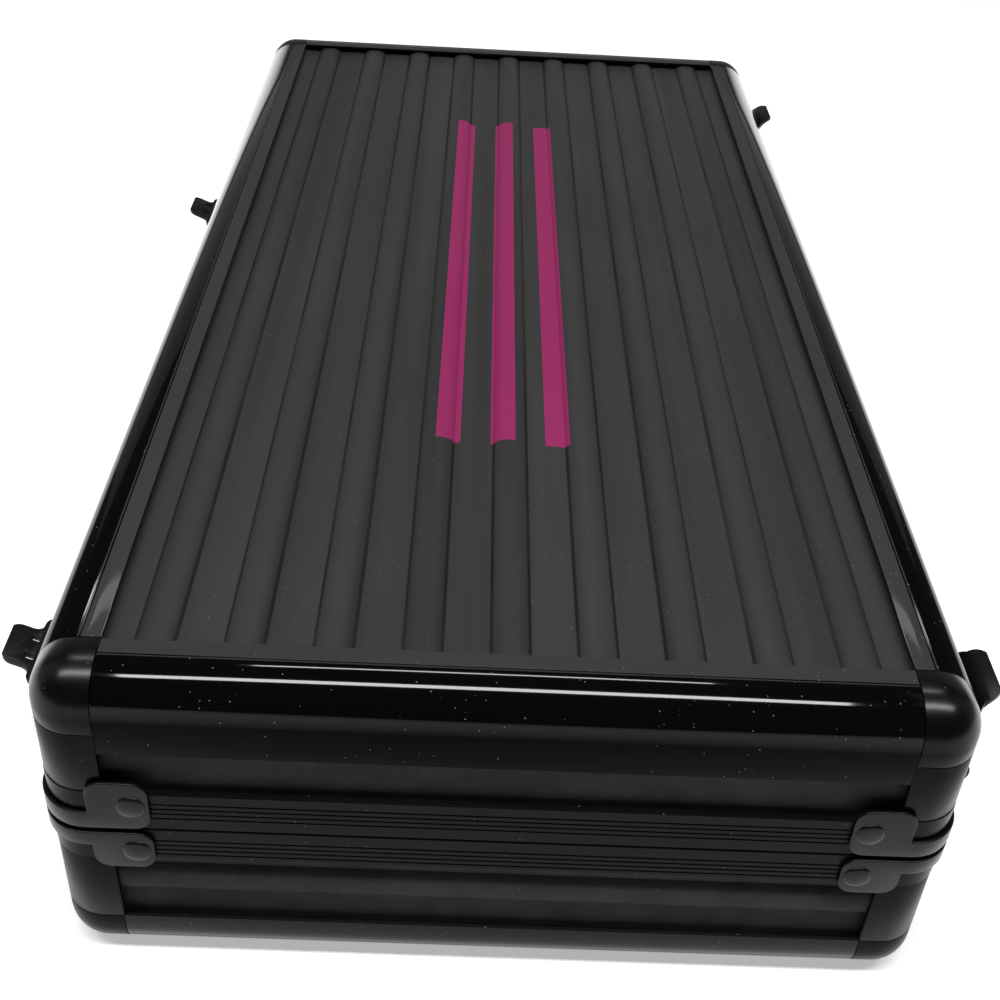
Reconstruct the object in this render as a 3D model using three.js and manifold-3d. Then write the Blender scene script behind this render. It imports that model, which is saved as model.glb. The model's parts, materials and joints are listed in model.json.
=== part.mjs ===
import * as THREE from "three";
import { RoundedBoxGeometry } from "three/addons/geometries/RoundedBoxGeometry.js";
import { mergeVertices } from "three/addons/utils/BufferGeometryUtils.js";
import Module from "manifold-3d";

// A framed hard case for a keyboard, closed and lying flat, in millimetres with +Z up.
// The front end faces -Y, the hinges are on the left side (-X), the latches and the handle on the right side.
// Each half is measured from its own outer face: depth runs from that face towards the seam.

// Case
const caseWidth = 218.8;
const caseLength = 434;
const lidHeight = 46.3;
const baseHeight = 48.5;
const seamGap = 0.3;
const fitGap = 0.2;
const cutOverrun = 1;

// Edge profile and corner piece
const edgeRadius = 11;
const skin = 1;
const topFlangeReach = 16;
const lidFlangeReach = 21.1;
const baseFlangeReach = 15.2;
const rootReach = 9;
const legInset = 1;
const profileGroove = 0.3;
const ballReach = 15;
const arcSteps = 6;
const ballSegments = 3;

// Ribbed panel
const boardThickness = 3;
const ribHeight = 2;
const ribWidth = 9.8;
const ribPitch = 20.5;
const bandCrown = 0.3;
const archPower = 3;
const ribSteps = 6;
const bandSteps = 2;
const lidRibDepth = 16.9;
const baseRibDepth = 27.8;
const panelTuck = 13;

// Closure frame
const lidClosureHeight = 12.2;
const baseClosureHeight = 10.4;
const closureLip = 1.5;
const closureLedge = 1.2;
const panelSeat = 6;
const grooveStart = 3.9;
const groovePitch = 1.6;
const grooveWidth = 0.7;
const grooveDepth = 0.35;
const grooveCount = 4;
const tongueWidth = 1.6;
const tongueHeight = 3;
const tongueInset = 4.2;
const tongueSideGap = 0.3;
const tongueSwingGap = 0.7;
const cornerSteps = 4;

// Corner bracket
const bracketThickness = 1;
const bracketGap = 0.15;
const lidBracketFrom = 1;
const lidBracketTo = 16.5;
const baseBracketFrom = 0.4;
const baseBracketTo = 12.6;
const bracketEndReach = 26.6;
const bracketSideReach = 20.3;
const bracketRounding = 4;
const bracketRoundSteps = 3;
const bracketBendSteps = 6;
const rivetInset = 4.2;
const rivetRadius = 3.5;
const rivetRise = 1;
const rivetSides = 12;
const rivetRings = 3;

// Foam
const foamGap = 0.3;
const foamCornerRadius = 6;
const keyboardLength = 326;
const keyboardWidth = 142;
const keyboardGap = 2;
const baseFoamBelowSeam = 2;
const cavityDepth = 28;
const cavityCornerRadius = 8;
const fingerNotchRadius = 15;
const lidFoamThickness = 26;
const curveSegments = 5;

// Hinge
const hingeFromEnd = 72.7;
const hingePinOut = 6;
const hingePinRadius = 1.5;
const hingeBoreGap = 0.15;
const hingeKnuckleRadius = 3;
const hingeLeafThickness = 1.4;
const hingeLeafWidth = 36;
const hingeLeafFrom = 1.5;
const hingeLeafTo = 13.3;
const hingeOuterKnuckle = 8.5;
const hingeKnuckleGap = 0.3;
const hingeWebGap = 0.4;
const hingePinHeadRadius = 2.5;
const hingePinHead = 0.9;
const stopWidth = 14.7;
const stopThickness = 1.5;
const stopTipOut = 30.1;
const stopRampOut = 22.3;
const stopDown = 12.5;
const stopTipDown = 9.1;
const stopTipRadius = 2.7;
const stopShelfWidth = 26;
const stopShelfOut = 22.3;
const stopShelfRadius = 2.5;
const stopSlotWidth = 1.6;
const stopSlotLength = 2.4;
const stopSlotOut = 22.1;
const stopSlotApart = 7.4;
const roundSides = 16;

// Latch
const latchFromEnd = 32.3;
const latchPlateWidth = 23;
const latchPlateThickness = 1.2;
const latchPlateFrom = 1.2;
const latchPlateTo = 28.5;
const latchPivotOut = 5;
const latchPivotUp = 7.5;
const latchPivotRadius = 1.5;
const latchPivotGap = 0.15;
const earReach = 7.6;
const earRadius = 4;
const cheekGap = 0.7;
const leverThickness = 1.4;
const leverWidth = 21.8;
const leverTipWidth = 17.9;
const leverTipRadius = 5.2;
const leverFaceOut = 4.8;
const leverFaceFrom = 16.6;
const leverBowUp = 26.9;
const leverFlareOut = 5.2;
const leverFlareUp = 30;
const leverTipOut = 10.8;
const leverTipUp = 31.3;
const leverShoulderOut = 7;
const cheekOut = 7.9;
const cheekShoulderUp = 13.5;
const cheekTopUp = 21;
const leverFoot = 4.9;
const hookPivotOut = 3.8;
const hookPivotUp = 14.5;
const hookPivotRadius = 1.1;
const hookEyeRadius = 1.7;
const hookWidth = 12;
const hookThickness = 1.2;
const hookOut = 2.8;
const hookEndOut = 4.1;
const hookEndDown = 9.3;
const hookEndRadius = 1.3;
const keeperFrom = 1.2;
const keeperTo = 12.3;
const keeperLipOut = 2.6;
const keeperLipFrom = 5.4;
const keeperLipTo = 7.4;
const keeperLipWidth = 15;

// Handle
const handleSpan = 138;
const handlePivotOut = 5;
const handlePivotDown = 6.5;
const handleWireRadius = 1.8;
const handleBoreGap = 0.2;
const handleLoopRadius = 3.4;
const handleBracketWidth = 12;
const handleBracketThickness = 1.4;
const handleBracketFrom = 1.2;
const handleBracketTo = 12.3;
const handleDrop = 28;
const handleLean = 9;
const handleShoulder = 6;
const handleBend = 5;
const gripEndGap = 2;
const gripRadius = 7.4;
const gripEndRadius = 5.2;
const gripBulgeShare = 0.12;
const gripRings = 8;
const gripSides = 14;
const wireSides = 8;
const bendSteps = 3;

// Values that follow from the ones above
const caseHeight = baseHeight + lidHeight;
const seamHeight = baseHeight;
const halfWidth = caseWidth / 2;
const halfLength = caseLength / 2;
const panelFace = skin + fitGap;
const bandFace = panelFace + ribHeight;
const panelBack = bandFace + boardThickness;
const slotStart = bandFace - bandCrown - fitGap;
const slotEnd = panelBack + fitGap;
const legBack = slotEnd + skin;
const handleArm = handleSpan / 2 - handleBracketWidth - handleShoulder;
const ribCount = 1 + Math.floor((caseWidth - 2 * topFlangeReach - ribWidth) / ribPitch);
const halves = {
  base: {
    name: "base",
    face: 0,
    inward: 1,
    height: baseHeight,
    ribDepth: baseRibDepth,
    flangeReach: baseFlangeReach,
    closureHeight: baseClosureHeight,
    bracketFrom: baseBracketFrom,
    bracketTo: baseBracketTo,
  },
  lid: {
    name: "lid",
    face: caseHeight,
    inward: -1,
    height: lidHeight,
    ribDepth: lidRibDepth,
    flangeReach: lidFlangeReach,
    closureHeight: lidClosureHeight,
    bracketFrom: lidBracketFrom,
    bracketTo: lidBracketTo,
  },
};
const sides = [
  { name: "front", out: [0, -1], reach: halfLength, run: caseWidth },
  { name: "back", out: [0, 1], reach: halfLength, run: caseWidth },
  { name: "left", out: [-1, 0], reach: halfWidth, run: caseLength },
  { name: "right", out: [1, 0], reach: halfWidth, run: caseLength },
];
const corners = [
  { name: "front_left", x: -1, y: -1 },
  { name: "front_right", x: 1, y: -1 },
  { name: "back_left", x: -1, y: 1 },
  { name: "back_right", x: 1, y: 1 },
];

const ribbedBlack = new THREE.MeshStandardMaterial({ color: 0x35363a, roughness: 0.45, metalness: 0.6 });
const glossBlack = new THREE.MeshStandardMaterial({ color: 0x0b0b0d, roughness: 0.12, metalness: 0.7 });
const satinBlack = new THREE.MeshStandardMaterial({ color: 0x1c1c1f, roughness: 0.35, metalness: 0.7 });
const darkSteel = new THREE.MeshStandardMaterial({ color: 0x2a2a2c, roughness: 0.35, metalness: 0.9 });
const moulded = new THREE.MeshStandardMaterial({ color: 0x171718, roughness: 0.6, metalness: 0 });
const foam = new THREE.MeshStandardMaterial({ color: 0x242426, roughness: 0.95, metalness: 0 });

const wasm = await Module();
wasm.setup();

// Solids: each helper takes and gives closed geometries
function solidOf(geometry) {
  const bare = new THREE.BufferGeometry();
  bare.setAttribute("position", geometry.getAttribute("position").clone());
  if (geometry.index) bare.setIndex(geometry.index.clone());
  const merged = mergeVertices(bare);
  const made = new wasm.Manifold(
    new wasm.Mesh({
      numProp: 3,
      vertProperties: new Float32Array(merged.attributes.position.array),
      triVerts: new Uint32Array(merged.index.array),
    }),
  );
  return made;
}

function geometryOf(solid) {
  const mesh = solid.getMesh();
  const geometry = new THREE.BufferGeometry();
  geometry.setAttribute("position", new THREE.BufferAttribute(new Float32Array(mesh.vertProperties), 3));
  geometry.setIndex(new THREE.BufferAttribute(new Uint32Array(mesh.triVerts), 1));
  return geometry;
}

function join(first, ...others) {
  return geometryOf(others.reduce((sum, other) => sum.add(solidOf(other)), solidOf(first)));
}

function cut(body, ...tools) {
  return geometryOf(tools.reduce((rest, tool) => rest.subtract(solidOf(tool)), solidOf(body)));
}

function overlap(first, second) {
  return geometryOf(solidOf(first).intersect(solidOf(second)));
}

function block(from, to) {
  const size = to.map((value, axis) => value - from[axis]);
  const centre = to.map((value, axis) => (value + from[axis]) / 2);
  return new THREE.BoxGeometry(...size).translate(...centre);
}

// A closed outline in the first two axes, drawn out evenly to both sides along the third.
function drawnOut(outline, length) {
  const shape = new THREE.Shape(outline.map(([x, y]) => new THREE.Vector2(x, y)));
  const settings = { depth: length, bevelEnabled: false };
  return new THREE.ExtrudeGeometry(shape, settings).translate(0, 0, -length / 2);
}

function rod(radius, length, segments = roundSides) {
  return new THREE.CylinderGeometry(radius, radius, length, segments).rotateX(Math.PI / 2);
}

// Rings of points skinned in order. The skin turns its faces outwards.
function skinned(rings, closed) {
  const size = rings[0].length;
  const points = rings.flat().flatMap((point) => point.toArray());
  const triangles = [];
  const spans = closed ? rings.length : rings.length - 1;
  for (let ring = 0; ring < spans; ring += 1) {
    const here = ring * size;
    const next = ((ring + 1) % rings.length) * size;
    for (let side = 0; side < size; side += 1) {
      const other = (side + 1) % size;
      triangles.push(here + side, next + side, next + other, here + side, next + other, here + other);
    }
  }
  if (!closed) {
    const last = (rings.length - 1) * size;
    for (let side = 1; side < size - 1; side += 1) {
      triangles.push(0, side, side + 1, last, last + side + 1, last + side);
    }
  }
  const geometry = new THREE.BufferGeometry();
  geometry.setAttribute("position", new THREE.Float32BufferAttribute(points, 3));
  geometry.setIndex(volumeOf(points, triangles) < 0 ? triangles.reverse() : triangles);
  return geometry;
}

function volumeOf(points, triangles) {
  const corner = (index) => new THREE.Vector3().fromArray(points, 3 * triangles[index]);
  let sum = 0;
  for (let index = 0; index < triangles.length; index += 3) {
    sum += corner(index).dot(corner(index + 1).cross(corner(index + 2)));
  }
  return sum;
}

function arc(centre, radius, fromDegrees, toDegrees, steps) {
  const points = [];
  for (let step = 0; step <= steps; step += 1) {
    const angle = THREE.MathUtils.degToRad(fromDegrees + ((toDegrees - fromDegrees) * step) / steps);
    points.push([centre[0] + radius * Math.cos(angle), centre[1] + radius * Math.sin(angle)]);
  }
  return points;
}

// Placement: the outline's first axis, its second axis and the point where both are zero.
function placed(geometry, firstAxis, secondAxis, origin) {
  const first = new THREE.Vector3(...firstAxis);
  const second = new THREE.Vector3(...secondAxis);
  const matrix = new THREE.Matrix4().makeBasis(first, second, first.clone().cross(second));
  return geometry.applyMatrix4(matrix.setPosition(...origin));
}

function mesh(name, geometry, material) {
  const made = new THREE.Mesh(geometry, material);
  made.name = name;
  return made;
}

function depthOf(half, depth) {
  return half.face + half.inward * depth;
}

// A section whose axes are the way in from one side's outer face and the depth from the half's outer face.
function alongSide(geometry, half, side) {
  const [x, y] = side.out;
  return placed(geometry, [-x, -y, 0], [0, 0, half.inward], [x * side.reach, y * side.reach, half.face]);
}

// Edge profile
function profileOutline(half) {
  const shoulder = edgeRadius + profileGroove;
  return [
    [0, half.flangeReach],
    ...arc([edgeRadius, edgeRadius], edgeRadius, 180, 270, arcSteps),
    [shoulder, profileGroove],
    [shoulder + profileGroove, 0],
    [topFlangeReach, 0],
    [topFlangeReach, skin],
    [rootReach, skin],
    [rootReach, slotEnd],
    [topFlangeReach - legInset, slotEnd],
    [topFlangeReach - legInset, legBack],
    [legBack, legBack],
    [legBack, half.flangeReach - legInset],
    [slotEnd, half.flangeReach - legInset],
    [slotEnd, rootReach],
    [skin, rootReach],
    [skin, half.flangeReach],
  ];
}

function edgeProfile(half, side) {
  const length = side.run - 2 * topFlangeReach - 2 * fitGap;
  return alongSide(drawnOut(profileOutline(half), length), half, side);
}

// Ribbed panels
function addArch(points, from, to, rise, steps) {
  for (let step = 0; step < steps; step += 1) {
    const along = (2 * step) / steps - 1;
    points.push([from + ((to - from) * step) / steps, rise * (1 - Math.abs(along) ** archPower)]);
  }
}

// Points along a ribbed face with their height over the creases
function ribbedFace(from, to, ribCentres) {
  const points = [];
  let start = from;
  for (const centre of ribCentres) {
    addArch(points, start, centre - ribWidth / 2, bandCrown, bandSteps);
    addArch(points, centre - ribWidth / 2, centre + ribWidth / 2, ribHeight, ribSteps);
    start = centre + ribWidth / 2;
  }
  addArch(points, start, to, bandCrown, bandSteps);
  points.push([to, 0]);
  return points;
}

function widePanel(half) {
  const edge = halfWidth - rootReach - fitGap;
  const centres = Array.from({ length: ribCount }, (_, index) => (index - (ribCount - 1) / 2) * ribPitch);
  const face = ribbedFace(-edge, edge, centres).map(([along, rise]) => [along, bandFace - rise]);
  const outline = [...face, [edge, panelBack], [-edge, panelBack]];
  const length = caseLength - 2 * (rootReach + fitGap);
  return placed(drawnOut(outline, length), [1, 0, 0], [0, 0, half.inward], [0, 0, half.face]);
}

function sidePanel(half, side) {
  const top = rootReach + fitGap;
  const bottom = half.height - seamGap / 2 - panelSeat - fitGap;
  const face = ribbedFace(top, bottom, [half.ribDepth]).map(([depth, rise]) => [bandFace - rise, depth]);
  const outline = [...face, [panelBack, bottom], [panelBack, top]];
  return alongSide(drawnOut(outline, side.run - 2 * panelTuck), half, side);
}

// Corner piece: a ball end on a rounded post, hollow behind
function roundedShell(inset, height) {
  const size = [caseWidth - 2 * inset, caseLength - 2 * inset, height - 2 * inset];
  return new RoundedBoxGeometry(...size, ballSegments, edgeRadius - inset);
}

function cornerPiece(half, corner) {
  const foot = half.height - seamGap / 2 - half.closureHeight - fitGap;
  const wallX = corner.x * halfWidth;
  const wallY = corner.y * halfLength;
  const fromDepth = (from, to, inset) => {
    const ends = [wallX + corner.x * cutOverrun, wallX - corner.x * inset].sort((a, b) => a - b);
    const others = [wallY + corner.y * cutOverrun, wallY - corner.y * inset].sort((a, b) => a - b);
    const levels = [depthOf(half, from), depthOf(half, to)].sort((a, b) => a - b);
    return block([ends[0], others[0], levels[0]], [ends[1], others[1], levels[1]]);
  };
  const middle = caseHeight / 2;
  const outer = roundedShell(0, caseHeight).translate(0, 0, middle);
  const inner = roundedShell(skin, caseHeight).translate(0, 0, middle);
  const grooved = roundedShell(profileGroove / 2, caseHeight).translate(0, 0, middle);
  const shell = cut(overlap(outer, fromDepth(-cutOverrun, foot, topFlangeReach)), inner);
  const band = fromDepth(ballReach, ballReach + profileGroove, topFlangeReach + cutOverrun);
  return cut(shell, cut(band, grooved));
}

// Closure frame: one section swept round the rounded plan, distance counted from the seam
function groovedFace() {
  const points = [];
  for (let index = 0; index < grooveCount; index += 1) {
    const middle = grooveStart + index * groovePitch;
    points.push([0, middle - grooveWidth / 2], [grooveDepth, middle], [0, middle + grooveWidth / 2]);
  }
  return points;
}

function closureSection(half) {
  const inner = tongueInset + tongueWidth;
  const matingFace =
    half === halves.lid
      ? [[inner, 0], [inner, -tongueHeight], [tongueInset, -tongueHeight], [tongueInset, 0]]
      : [
          [inner + tongueSwingGap, 0],
          [inner + tongueSwingGap, tongueHeight + seamGap],
          [tongueInset - tongueSideGap, tongueHeight + seamGap],
          [tongueInset - tongueSideGap, 0],
        ];
  return [
    [0, 0],
    ...groovedFace(),
    [0, half.closureHeight - grooveDepth],
    [grooveDepth, half.closureHeight],
    [closureLip, half.closureHeight],
    [closureLip, half.closureHeight - closureLedge],
    [slotStart, half.closureHeight - closureLedge],
    [slotStart, panelSeat],
    [slotEnd, panelSeat],
    [slotEnd, half.closureHeight - closureLedge],
    [legBack, half.closureHeight - closureLedge],
    [legBack, 0],
    ...matingFace,
  ];
}

function closureFrame(half) {
  const section = closureSection(half);
  const seam = seamHeight - (half.inward * seamGap) / 2;
  const centreX = halfWidth - edgeRadius;
  const centreY = halfLength - edgeRadius;
  const quarters = [[1, 1], [-1, 1], [-1, -1], [1, -1]];
  const rings = quarters.flatMap(([signX, signY], quarter) =>
    arc([0, 0], 1, 90 * quarter, 90 * quarter + 90, cornerSteps).map(([alongX, alongY]) =>
      section.map(([inset, fromSeam]) => {
        const radius = edgeRadius - inset;
        const x = signX * centreX + alongX * radius;
        const y = signY * centreY + alongY * radius;
        return new THREE.Vector3(x, y, seam - half.inward * fromSeam);
      }),
    ),
  );
  return skinned(rings, true);
}

// Rivet head, standing up from the plane of its first two axes
function rivetHead() {
  const dome = arc([0, 0], 1, 0, 90, rivetRings).map(([across, up]) => {
    return new THREE.Vector2(rivetRadius * across, rivetRise * up);
  });
  const sunk = [new THREE.Vector2(0, -bracketThickness / 2), new THREE.Vector2(rivetRadius, -bracketThickness / 2)];
  dome[dome.length - 1].x = 0;
  return new THREE.LatheGeometry([...sunk, ...dome], rivetSides).rotateX(Math.PI / 2);
}

// Corner bracket: a pressed strip round the closure frame's corner with a rivet on each tab
function bracketStations(half, rounding) {
  const stations = [];
  const low = half.bracketFrom;
  const high = half.bracketTo;
  const shrinkAt = (share) => rounding * (1 - Math.sin(share * (Math.PI / 2)));
  const insetAt = (share) => rounding * (1 - Math.cos(share * (Math.PI / 2)));
  const tab = (reach, point) => {
    const shares = Array.from({ length: bracketRoundSteps + 1 }, (_, step) => step / bracketRoundSteps);
    return shares.map((share) => ({
      ...point(reach - edgeRadius - insetAt(share)),
      low: low + shrinkAt(share),
      high: high - shrinkAt(share),
    }));
  };
  stations.push(...tab(bracketEndReach, (back) => ({ at: [-back, 0], way: [0, 1] })));
  for (const [x, y] of arc([0, 0], 1, 90, 0, bracketBendSteps)) {
    stations.push({ at: [0, 0], way: [x, y], low, high });
  }
  stations.push(...tab(bracketSideReach, (back) => ({ at: [0, -back], way: [1, 0] })).reverse());
  return stations;
}

function cornerBracket(half, corner) {
  const seam = seamHeight - (half.inward * seamGap) / 2;
  const centre = [corner.x * (halfWidth - edgeRadius), corner.y * (halfLength - edgeRadius)];
  const inner = edgeRadius + bracketGap;
  const outer = inner + bracketThickness;
  const point = (station, radius, fromSeam) =>
    new THREE.Vector3(
      centre[0] + corner.x * (station.at[0] + station.way[0] * radius),
      centre[1] + corner.y * (station.at[1] + station.way[1] * radius),
      seam - half.inward * fromSeam,
    );
  const rings = bracketStations(half, bracketRounding).map((station) => [
    point(station, inner, station.low),
    point(station, outer, station.low),
    point(station, outer, station.high),
    point(station, inner, station.high),
  ]);
  const middle = seam - (half.inward * (half.bracketFrom + half.bracketTo)) / 2;
  const face = bracketGap + bracketThickness;
  const onEnd = placed(rivetHead(), [-corner.y, 0, 0], [0, 0, 1], [
    corner.x * (halfWidth - bracketEndReach + rivetInset),
    corner.y * (halfLength + face),
    middle,
  ]);
  const onSide = placed(rivetHead(), [0, corner.x, 0], [0, 0, 1], [
    corner.x * (halfWidth + face),
    corner.y * (halfLength - bracketSideReach + rivetInset),
    middle,
  ]);
  return join(skinned(rings, false), onEnd, onSide);
}

// Foam
function roundedRectangle(width, length, radius) {
  const x = width / 2 - radius;
  const y = length / 2 - radius;
  const quarters = [[1, 1], [-1, 1], [-1, -1], [1, -1]];
  return quarters.flatMap(([signX, signY], quarter) =>
    arc([signX * x, signY * y], radius, 90 * quarter, 90 * quarter + 90, curveSegments),
  );
}

function foamBlock(low, high) {
  const width = caseWidth - 2 * (legBack + foamGap);
  const length = caseLength - 2 * (legBack + foamGap);
  const body = drawnOut(roundedRectangle(width, length, foamCornerRadius), high - low);
  return body.translate(0, 0, (low + high) / 2);
}

function baseFoam() {
  const top = seamHeight - baseFoamBelowSeam;
  const floor = top - cavityDepth;
  const depth = cavityDepth + cutOverrun;
  const width = keyboardWidth + 2 * keyboardGap;
  const length = keyboardLength + 2 * keyboardGap;
  const cavity = drawnOut(roundedRectangle(width, length, cavityCornerRadius), depth);
  cavity.translate(0, 0, floor + depth / 2);
  const notches = [-1, 1].map((side) =>
    rod(fingerNotchRadius, depth, roundSides).translate((side * width) / 2, 0, floor + depth / 2),
  );
  return cut(foamBlock(legBack + foamGap, top), cavity, ...notches);
}

function lidFoam() {
  const top = caseHeight - legBack - foamGap;
  return foamBlock(top - lidFoamThickness, top);
}

// Hinge, in a frame whose axes are the way out from the left wall and the height over the seam
function onLeftWall(geometry, y) {
  return placed(geometry, [-1, 0, 0], [0, 0, 1], [-halfWidth, y, seamHeight]);
}

function hingeBore() {
  return rod(hingePinRadius + hingeBoreGap, hingeLeafWidth + 2 * cutOverrun).translate(hingePinOut, 0, 0);
}

function wallRivet(out, up, along) {
  return placed(rivetHead(), [0, 1, 0], [0, 0, 1], [out, up, along]);
}

function hingeLeafPlate(from, to) {
  const half = hingeLeafWidth / 2;
  const plate = block([bracketGap, from, -half], [bracketGap + hingeLeafThickness, to, half]);
  const rivets = [-1, 1].map((side) =>
    wallRivet(bracketGap + hingeLeafThickness, (from + to) / 2, side * (half - hingeOuterKnuckle)),
  );
  return join(plate, ...rivets);
}

function hingeKnuckle(from, to, way) {
  const width = to - from;
  const middle = (from + to) / 2;
  const barrel = rod(hingeKnuckleRadius, width).translate(hingePinOut, 0, middle);
  const levels = [way * hingeWebGap, way * hingeKnuckleRadius].sort((a, b) => a - b);
  const web = block([bracketGap, levels[0], from], [hingePinOut, levels[1], to]);
  return join(barrel, web);
}

// The stop tongue leaves the lower leaf as a shelf under the knuckle and rises a little towards its tip.
function stopTongue() {
  const low = -stopDown - stopThickness / 2;
  const tipLow = -stopTipDown - stopThickness / 2;
  const outline = [
    [bracketGap, low],
    [stopRampOut, low],
    [stopTipOut, tipLow],
    [stopTipOut, tipLow + stopThickness],
    [stopRampOut, low + stopThickness],
    [bracketGap, low + stopThickness],
  ];
  return drawnOut(outline, stopShelfWidth);
}

function stopPlan() {
  const half = stopWidth / 2;
  const wide = stopShelfWidth / 2;
  const side = [
    [bracketGap, wide],
    ...arc([stopShelfOut - stopShelfRadius, wide - stopShelfRadius], stopShelfRadius, 90, 0, curveSegments),
    ...arc([stopShelfOut + stopShelfRadius, half + stopShelfRadius], stopShelfRadius, 180, 270, curveSegments),
    ...arc([stopTipOut - stopTipRadius, half - stopTipRadius], stopTipRadius, 90, 0, curveSegments),
  ];
  const mirrored = side.map(([out, along]) => [out, -along]).reverse();
  return drawnOut([...side, ...mirrored], 2 * hingeLeafTo).rotateX(Math.PI / 2);
}

function hingeLowerLeaf(y) {
  const half = hingeLeafWidth / 2;
  const slots = [-1, 1].map((side) => {
    const along = (side * stopSlotApart) / 2;
    return block(
      [stopSlotOut, -hingeLeafTo, along - stopSlotWidth / 2],
      [stopSlotOut + stopSlotLength, 0, along + stopSlotWidth / 2],
    );
  });
  const leaf = join(
    hingeLeafPlate(-hingeLeafTo, -hingeLeafFrom),
    hingeKnuckle(-half, hingeOuterKnuckle - half, -1),
    hingeKnuckle(half - hingeOuterKnuckle, half, -1),
    cut(overlap(stopTongue(), stopPlan()), ...slots),
  );
  return onLeftWall(cut(leaf, hingeBore()), y);
}

function hingeUpperLeaf(y) {
  const reach = hingeLeafWidth / 2 - hingeOuterKnuckle - hingeKnuckleGap;
  const leaf = join(hingeLeafPlate(hingeLeafFrom, hingeLeafTo), hingeKnuckle(-reach, reach, 1));
  return onLeftWall(cut(leaf, hingeBore()), y);
}

function hingePin(y) {
  const half = hingeLeafWidth / 2 + hingeKnuckleGap;
  const heads = [-1, 1].map((side) =>
    rod(hingePinHeadRadius, hingePinHead).translate(0, 0, side * (half + hingePinHead / 2)),
  );
  const pin = join(rod(hingePinRadius, 2 * half + hingePinHead), ...heads);
  return onLeftWall(pin.translate(hingePinOut, 0, 0), y);
}

// Latch, in a frame whose axes are the way out from the right wall and the height over the seam
function onRightWall(geometry, y) {
  return placed(geometry, [1, 0, 0], [0, 0, 1], [halfWidth, y, seamHeight]);
}

function latchPlate(y) {
  const half = latchPlateWidth / 2;
  const face = bracketGap + latchPlateThickness;
  const plate = block([bracketGap, latchPlateFrom, -half], [face, latchPlateTo, half]);
  const earOutline = [
    [bracketGap, latchPivotUp - earRadius],
    ...arc([earReach - earRadius, latchPivotUp], earRadius, -90, 90, curveSegments),
    [bracketGap, latchPivotUp + earRadius],
  ];
  const ears = [-1, 1].map((side) => {
    const ear = drawnOut(earOutline, latchPlateThickness);
    return ear.translate(0, 0, side * (half - latchPlateThickness / 2));
  });
  const stubLength = latchPlateThickness + cheekGap + leverThickness;
  const stubs = [-1, 1].map((side) =>
    rod(latchPivotRadius, stubLength).translate(latchPivotOut, latchPivotUp, side * (half - stubLength / 2)),
  );
  const rivets = [-1, 1].map((side) =>
    wallRivet(face, latchPlateTo - rivetInset, side * (half - rivetInset)),
  );
  return onRightWall(join(plate, ...ears, ...stubs, ...rivets), y);
}

// The lever's face climbs from its foot and flares outwards at its tip.
function leverFaceOutline() {
  const start = new THREE.Vector2(leverFaceOut, leverFaceFrom);
  const bow = new THREE.Vector2(leverFaceOut, leverBowUp);
  const flare = new THREE.Vector2(leverFlareOut, leverFlareUp);
  const tip = new THREE.Vector2(leverTipOut, leverTipUp);
  const curve = new THREE.CubicBezierCurve(start, bow, flare, tip);
  const points = curve.getPoints(2 * arcSteps);
  const edge = (side) =>
    points.map((point, index) => {
      const way = curve.getTangent(index / (points.length - 1));
      return [point.x - (way.y * side * leverThickness) / 2, point.y + (way.x * side * leverThickness) / 2];
    });
  return [...edge(-1), ...edge(1).reverse()];
}

// The lever seen from above: full width at its face, narrower at the rounded lip
function leverPlan() {
  const foot = leverWidth / 2;
  const tip = leverTipWidth / 2;
  const far = leverTipOut + leverThickness / 2;
  const near = hookPivotOut - hookEyeRadius - cutOverrun;
  const shoulder = leverShoulderOut;
  return drawnOut(
    [
      [near, -foot],
      [shoulder, -foot],
      ...arc([far - leverTipRadius, leverTipRadius - tip], leverTipRadius, -90, 0, curveSegments),
      ...arc([far - leverTipRadius, tip - leverTipRadius], leverTipRadius, 0, 90, curveSegments),
      [shoulder, foot],
      [near, foot],
    ],
    2 * (leverTipUp + leverThickness + cutOverrun),
  ).rotateX(Math.PI / 2);
}

function latchLever(y) {
  const face = overlap(drawnOut(leverFaceOutline(), leverWidth), leverPlan());
  const cheekOutline = [
    [latchPivotOut - earRadius / 2, leverFoot],
    [cheekOut, leverFoot],
    [cheekOut, cheekShoulderUp],
    [leverFaceOut + leverThickness / 2, cheekTopUp],
    [leverFaceOut - leverThickness / 2, cheekTopUp],
    [hookPivotOut - hookEyeRadius, hookPivotUp + hookEyeRadius],
    [hookPivotOut - hookEyeRadius, hookPivotUp - hookEyeRadius],
  ];
  const cheekAt = latchPlateWidth / 2 - latchPlateThickness - cheekGap - leverThickness / 2;
  const cheeks = [-1, 1].map((side) => drawnOut(cheekOutline, leverThickness).translate(0, 0, side * cheekAt));
  const through = leverWidth + 2 * cutOverrun;
  const bores = [
    rod(latchPivotRadius + latchPivotGap, through).translate(latchPivotOut, latchPivotUp, 0),
    rod(hookPivotRadius + latchPivotGap, through).translate(hookPivotOut, hookPivotUp, 0),
  ];
  return onRightWall(join(face, ...cheeks.map((cheek) => cut(cheek, ...bores))), y);
}

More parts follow.
